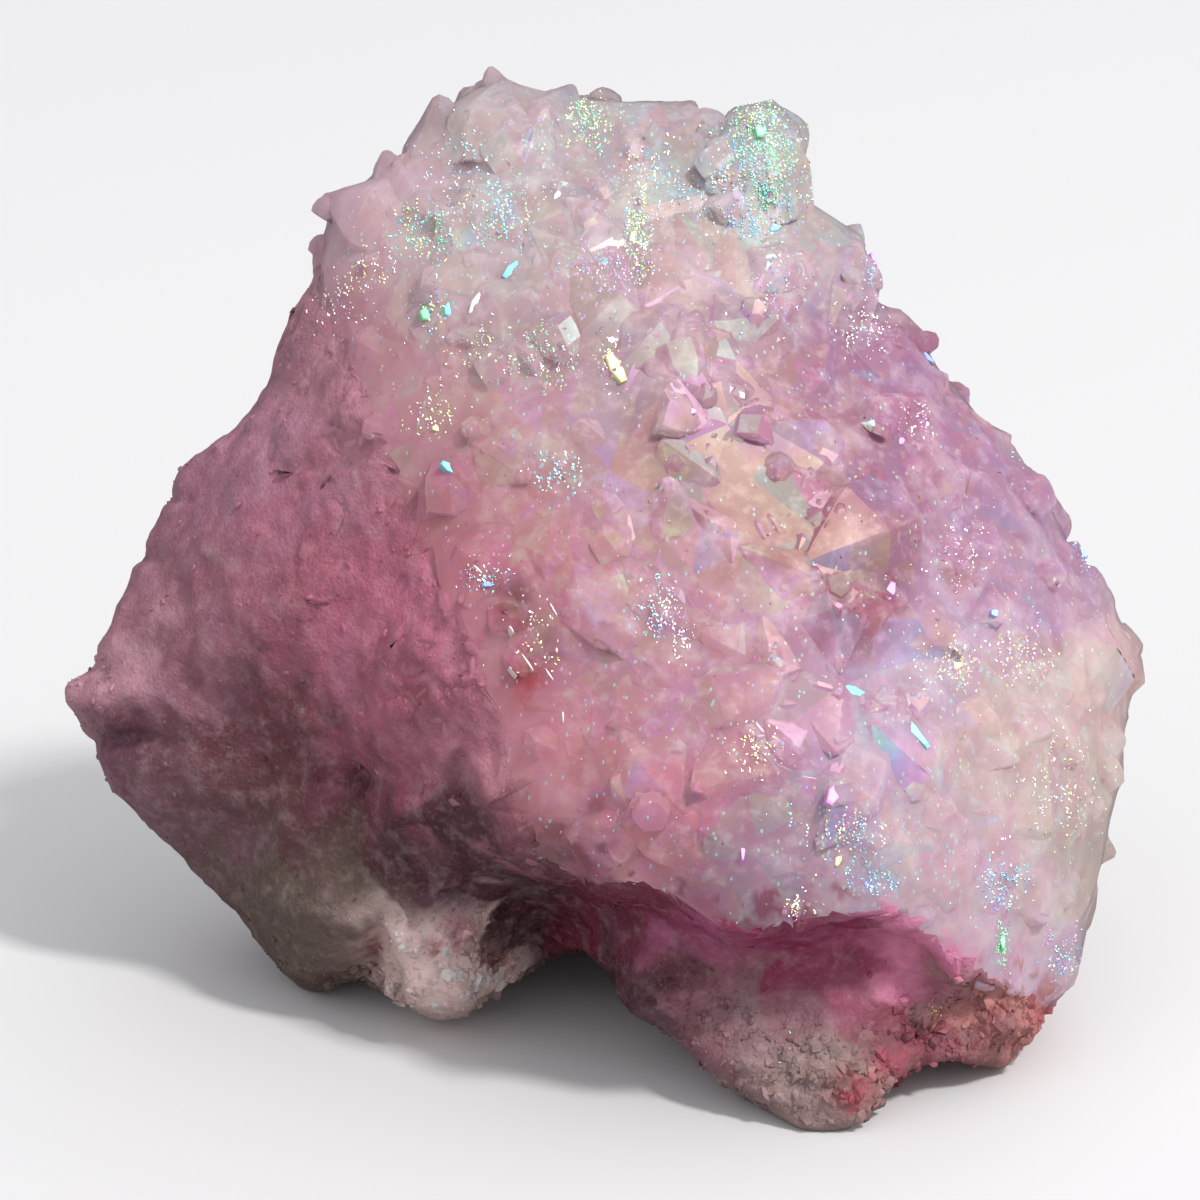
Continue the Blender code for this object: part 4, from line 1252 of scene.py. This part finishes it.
# Crumbs: the broken grains on the foot and the lower edge.
crumb = {
    "count": 3800, "apart": 0.3, "jitter": 0.2, "width": (0.55, 1), "squash": (0.35, 0.8),
    "rise": (-0.25, 0.2), "lean": (0, 40), "anywhere": 0.02, "common": (0.12, 0.4), "shade": (0.72, 1.3),
    "behind": -20, "above": 1.0, "lowest": 0.25, "lower": (3, 9),
}
crumbSpots = [  # (u, v, reach across, reach up, share, smallest and largest grain in millimetres)
    (9, -37.5, 5, 2, 0.8, (0.15, 0.5)), (15, -41.5, 5, 2.6, 1, (0.2, 0.8)),
    (21, -42.5, 2.6, 1.8, 1, (0.3, 1)), (28, -38.5, 3.6, 1.8, 1, (0.25, 0.9)),
    (34, -38, 3.4, 1.8, 1, (0.25, 1)), (29.5, -35.6, 2.2, 1.2, 1, (0.2, 0.6)),
    (-15, -32, 3.6, 3.2, 1, (0.14, 0.5)), (-12.5, -33.8, 3.6, 1.6, 1, (0.3, 1)),
    (-20, -35.5, 4, 1.4, 0.9, (0.2, 0.8)), (-6.5, -32, 2.6, 1.6, 0.5, (0.15, 0.5)),
    (-29, -34.5, 5, 1.4, 0.25, (0.15, 0.4)), (5.5, -34.2, 3, 1.2, 0.7, (0.12, 0.35)),
    (-9, -4, 2.4, 5, 0.35, (0.1, 0.35)), (-12, 3, 3, 4, 0.3, (0.1, 0.35)), (-46, -10, 2, 3, 0.3, (0.15, 0.4)),
]


def makeCrumb():
    deselectAll()
    bpy.ops.mesh.primitive_ico_sphere_add(subdivisions=1, radius=1)
    return takeShape(bpy.context.object)


def makeCrumbs(body):
    rng, spread = random.Random(8), np.random.default_rng(8)
    mesh, shape = body.data, makeCrumb()
    points = readFaces(mesh)[0]
    heights = heightOf(points)
    wanted, spot = np.zeros(len(points)), np.zeros(len(points), int)
    for number, (u, v, across, up, share, _) in enumerate(crumbSpots):
        here = share * nearness(points, u, v, across, up) * (points[:, 2] > crumb["behind"])
        spot[here > wanted] = number
        wanted = np.maximum(wanted, here)
    onBroken = readArray(mesh.polygons, "material_index", kind=np.int64) == len(filmKinds)
    few = crumb["anywhere"] * (1 + 4 * (1 - step(*crumb["lower"], heights)))
    wanted = np.maximum(wanted, few) * onBroken * (heights > crumb["above"])
    tree = makeTree(mesh)
    places, middles = [], []
    for at, normal in scatterOver(mesh, wanted, howMany(crumb["count"]), crumb["apart"], spread):
        index = tree.find_nearest(at)[2]
        inSpot = wanted[index] > 3 * crumb["anywhere"]
        smallest, largest = crumbSpots[spot[index]][5] if inSpot else crumb["common"]
        radius = smallest + (largest - smallest) * rng.random() ** 2.5
        if heightOf(at) - radius < crumb["lowest"]:
            continue
        turn = leaning(normal, *crumb["lean"], rng).to_track_quat("Z", "Y").to_matrix().to_4x4()
        spin = Matrix.Rotation(rng.uniform(0, 2 * math.pi), 4, "Z")
        width, height = rng.uniform(*crumb["width"]), rng.uniform(*crumb["squash"])
        place = Matrix.Translation(at + normal * radius * rng.uniform(*crumb["rise"])) @ turn @ spin
        places.append(place @ Matrix.Diagonal((radius, radius * width, radius * height, 1)))
        middles.append(at)
    piece = meshFromCopies("crumbs", shape, places, crumb["jitter"])
    shades = tone["broken"] * spread.uniform(*crumb["shade"], len(places))[:, None]
    tints = np.minimum(zoneColour(np.array(middles), brokenColoursAndShade) * shades, 0.9)
    corners = sum(len(polygon) for polygon in shape[1])
    storeAttribute(piece.data, "tint", "CORNER", np.repeat(tints, corners, axis=0))
    piece.data.materials.append(bpy.data.materials["broken_quartz"])
    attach(piece, "root")
    print("crumbs:", len(places))


# Flakes: the few larger facets that flash.
flake = {"thickness": 0.9, "proud": 0.05, "aim": 6.0, "softer": 0.16, "metal": 0.5}
flakes = [  # (u, v, length, width, direction, film, dullness)
    (-11.9, 24, 2.6, 0.8, 62, pearl, 0.24), (0.1, 18.4, 3.2, 1.3, 115, gold, 0.34),
    (-0.3, 20.8, 0.8, 0.6, 0, pearl, 0.2), (-16, 23.3, 1.7, 1.5, 20, green, 0.4),
    (-14.2, 23.6, 1.6, 1, 70, cyan, 0.4), (-8.9, 27, 2.4, 0.9, 50, cyan, 0.42),
    (25, -12.2, 4.8, 0.8, -52, cyan, 0.32), (18.2, -17.4, 2.6, 1.2, 60, magenta, 0.4),
    (23.3, -0.6, 1.9, 0.9, 70, magenta, 0.4), (32.5, -2.5, 1, 0.8, 0, blue, 0.24),
    (-14.1, 9.9, 1.9, 0.8, -35, cyan, 0.36), (-10.6, 0, 1.6, 0.6, 15, blue, 0.4),
    (20, -9, 2.6, 0.9, -15, cyan, 0.36), (37.1, 11.6, 1.5, 0.6, -50, cyan, 0.3),
    (42, 2.9, 1.5, 0.6, -55, blue, 0.34), (27.5, 20.2, 2.2, 0.6, -40, blue, 0.42),
    (22.8, 28.4, 1.8, 0.5, -75, magenta, 0.42), (-15.2, 13.3, 1.1, 0.6, 0, gold, 0.3),
    (6.5, 14.6, 0.8, 0.6, 0, magenta, 0.34), (10.6, -22.2, 2, 0.4, 85, magenta, 0.4),
    (18.6, -23, 1.5, 0.6, 70, gold, 0.36), (33.2, -30.4, 2.2, 0.5, 88, green, 0.38),
    (12.7, 39.6, 1.8, 1.1, 80, green, 0.3), (-5, 33.5, 1.4, 0.6, 70, pearl, 0.3),
    (1.5, 29.8, 1.6, 0.6, 80, gold, 0.34), (14, 31, 1.4, 0.6, 30, cyan, 0.4),
    (29, -7, 1.5, 0.7, 20, gold, 0.34), (24.6, 12.3, 1, 0.7, 40, magenta, 0.42),
    (-8.9, -3.6, 1.6, 0.14, -62, pearl, 0.4), (-7.4, -6.6, 2, 0.16, -58, pearl, 0.42),
    (-5.2, -2.2, 1.5, 0.14, -66, pearl, 0.4), (-8.6, -7.4, 1.2, 0.12, -55, pearl, 0.4),
    (-5.6, -7.6, 1.6, 0.14, -60, pearl, 0.4), (-11.6, 1.2, 1.2, 0.14, -45, pearl, 0.4),
    (-4.4, -11, 1.7, 0.14, 85, pearl, 0.42),
]


def makeFlakes(tree):
    rng, aim, shape = random.Random(4), halfWay(), makeFlake()
    places, kinds, dullness = [], [], []
    for u, v, length, width, direction, kind, dull in flakes:
        at = skinPoint(tree, u, v)[0]
        if at is None:
            continue
        up = leaning(aim, 0, flake["aim"], rng)
        places.append(placePlate(at, up, direction, (length, width, flake["thickness"]), flake["proud"]))
        kinds.append(kind)
        dullness.append(dull + flake["softer"])
    piece = meshFromCopies("flakes", shape, places)
    finishGrains(piece, shape, np.array(kinds), np.array(dullness), np.full(len(places), flake["metal"]))
    print("flakes:", len(places))


# Camera, floor and light.
view = {"lens": 150, "sensor": 36, "elevation": 20, "frameWidth": 106.15, "shift": (-1.3, -1.4)}
lamps = [
    {"name": "key", "from": (1.35, -1.15, 2.40), "size": 0.35, "power": 46.0, "colour": (1, 0.98, 0.95)},
    {"name": "fill", "from": (-2.2, -1.6, 1.6), "size": 2.0, "power": 5.0, "colour": (0.95, 0.97, 1)},
]
lampsAim = (0, 0, 0.04)
air = {"colour": (0.97, 0.98, 1), "towards": (0.62, -0.35, 0.70), "facing": (-0.6, 1), "level": (0.25, 0.85)}
floorFinish = {"colour": (0.90, 0.90, 0.91), "thrownBack": (0.42, 0.42, 0.43), "roughness": 0.7, "size": 8}


def makeCamera():
    deselectAll()
    bpy.ops.object.camera_add()
    camera = bpy.context.object
    camera.name = "camera"
    camera.data.lens = view["lens"]
    camera.data.sensor_width = view["sensor"]
    elevation = math.radians(view["elevation"])
    back = Vector((0, -math.cos(elevation), math.sin(elevation)))
    up = Vector((0, math.sin(elevation), math.cos(elevation)))
    distance = view["frameWidth"] * mm * view["lens"] / view["sensor"]
    aim = (Vector(face["middle"]) + Vector((1, 0, 0)) * view["shift"][0] + up * view["shift"][1]) * mm
    camera.location = aim + back * distance
    camera.rotation_euler = (-back).to_track_quat("-Z", "Y").to_euler()
    bpy.context.scene.camera = camera
    print("camera: set")


def makeFloor():
    deselectAll()
    bpy.ops.mesh.primitive_plane_add(size=floorFinish["size"])
    floor = bpy.context.object
    floor.name = "floor"
    material, tree, shader = startMaterial("pale_floor")
    seen = addNode(tree, "LightPath").outputs["Is Camera Ray"]
    colour = mix(tree, seen, (*floorFinish["thrownBack"], 1), (*floorFinish["colour"], 1))
    feed(tree, shader, {"Base Color": colour, "Roughness": floorFinish["roughness"]})
    floor.data.materials.append(material)
    print("floor: laid")


def makeLights():
    for lamp in lamps:
        deselectAll()
        bpy.ops.object.light_add(type="AREA", location=lamp["from"])
        light = bpy.context.object
        light.name = lamp["name"] + "_light"
        light.data.size, light.data.energy, light.data.color = lamp["size"], lamp["power"], lamp["colour"]
        light.rotation_euler = (Vector(lampsAim) - Vector(lamp["from"])).to_track_quat("-Z", "Y").to_euler()
    world = bpy.data.worlds.new("studio")
    world.use_nodes = True
    tree = world.node_tree
    place = addNode(tree, "TexCoord").outputs["Generated"]
    facing = addNode(tree, "VectorMath", {0: place, 1: air["towards"]}, operation="DOT_PRODUCT")
    level = remap(tree, facing.outputs["Value"], *air["facing"], *air["level"])
    feed(tree, tree.nodes["Background"], {"Color": (*air["colour"], 1), "Strength": level})
    bpy.context.scene.world = world
    bpy.context.scene.view_settings.view_transform = "Standard"
    print("lights: set")


glitterMaterials = {kind["name"]: makeGlitterMaterial(kind) for kind in glitterFilms}
skin = makeTree(body.data)
makeGlitter(skin)
makeDruse(skin)
makeFlakes(skin)
makeCrumbs(body)
makeCamera()
makeFloor()
makeLights()
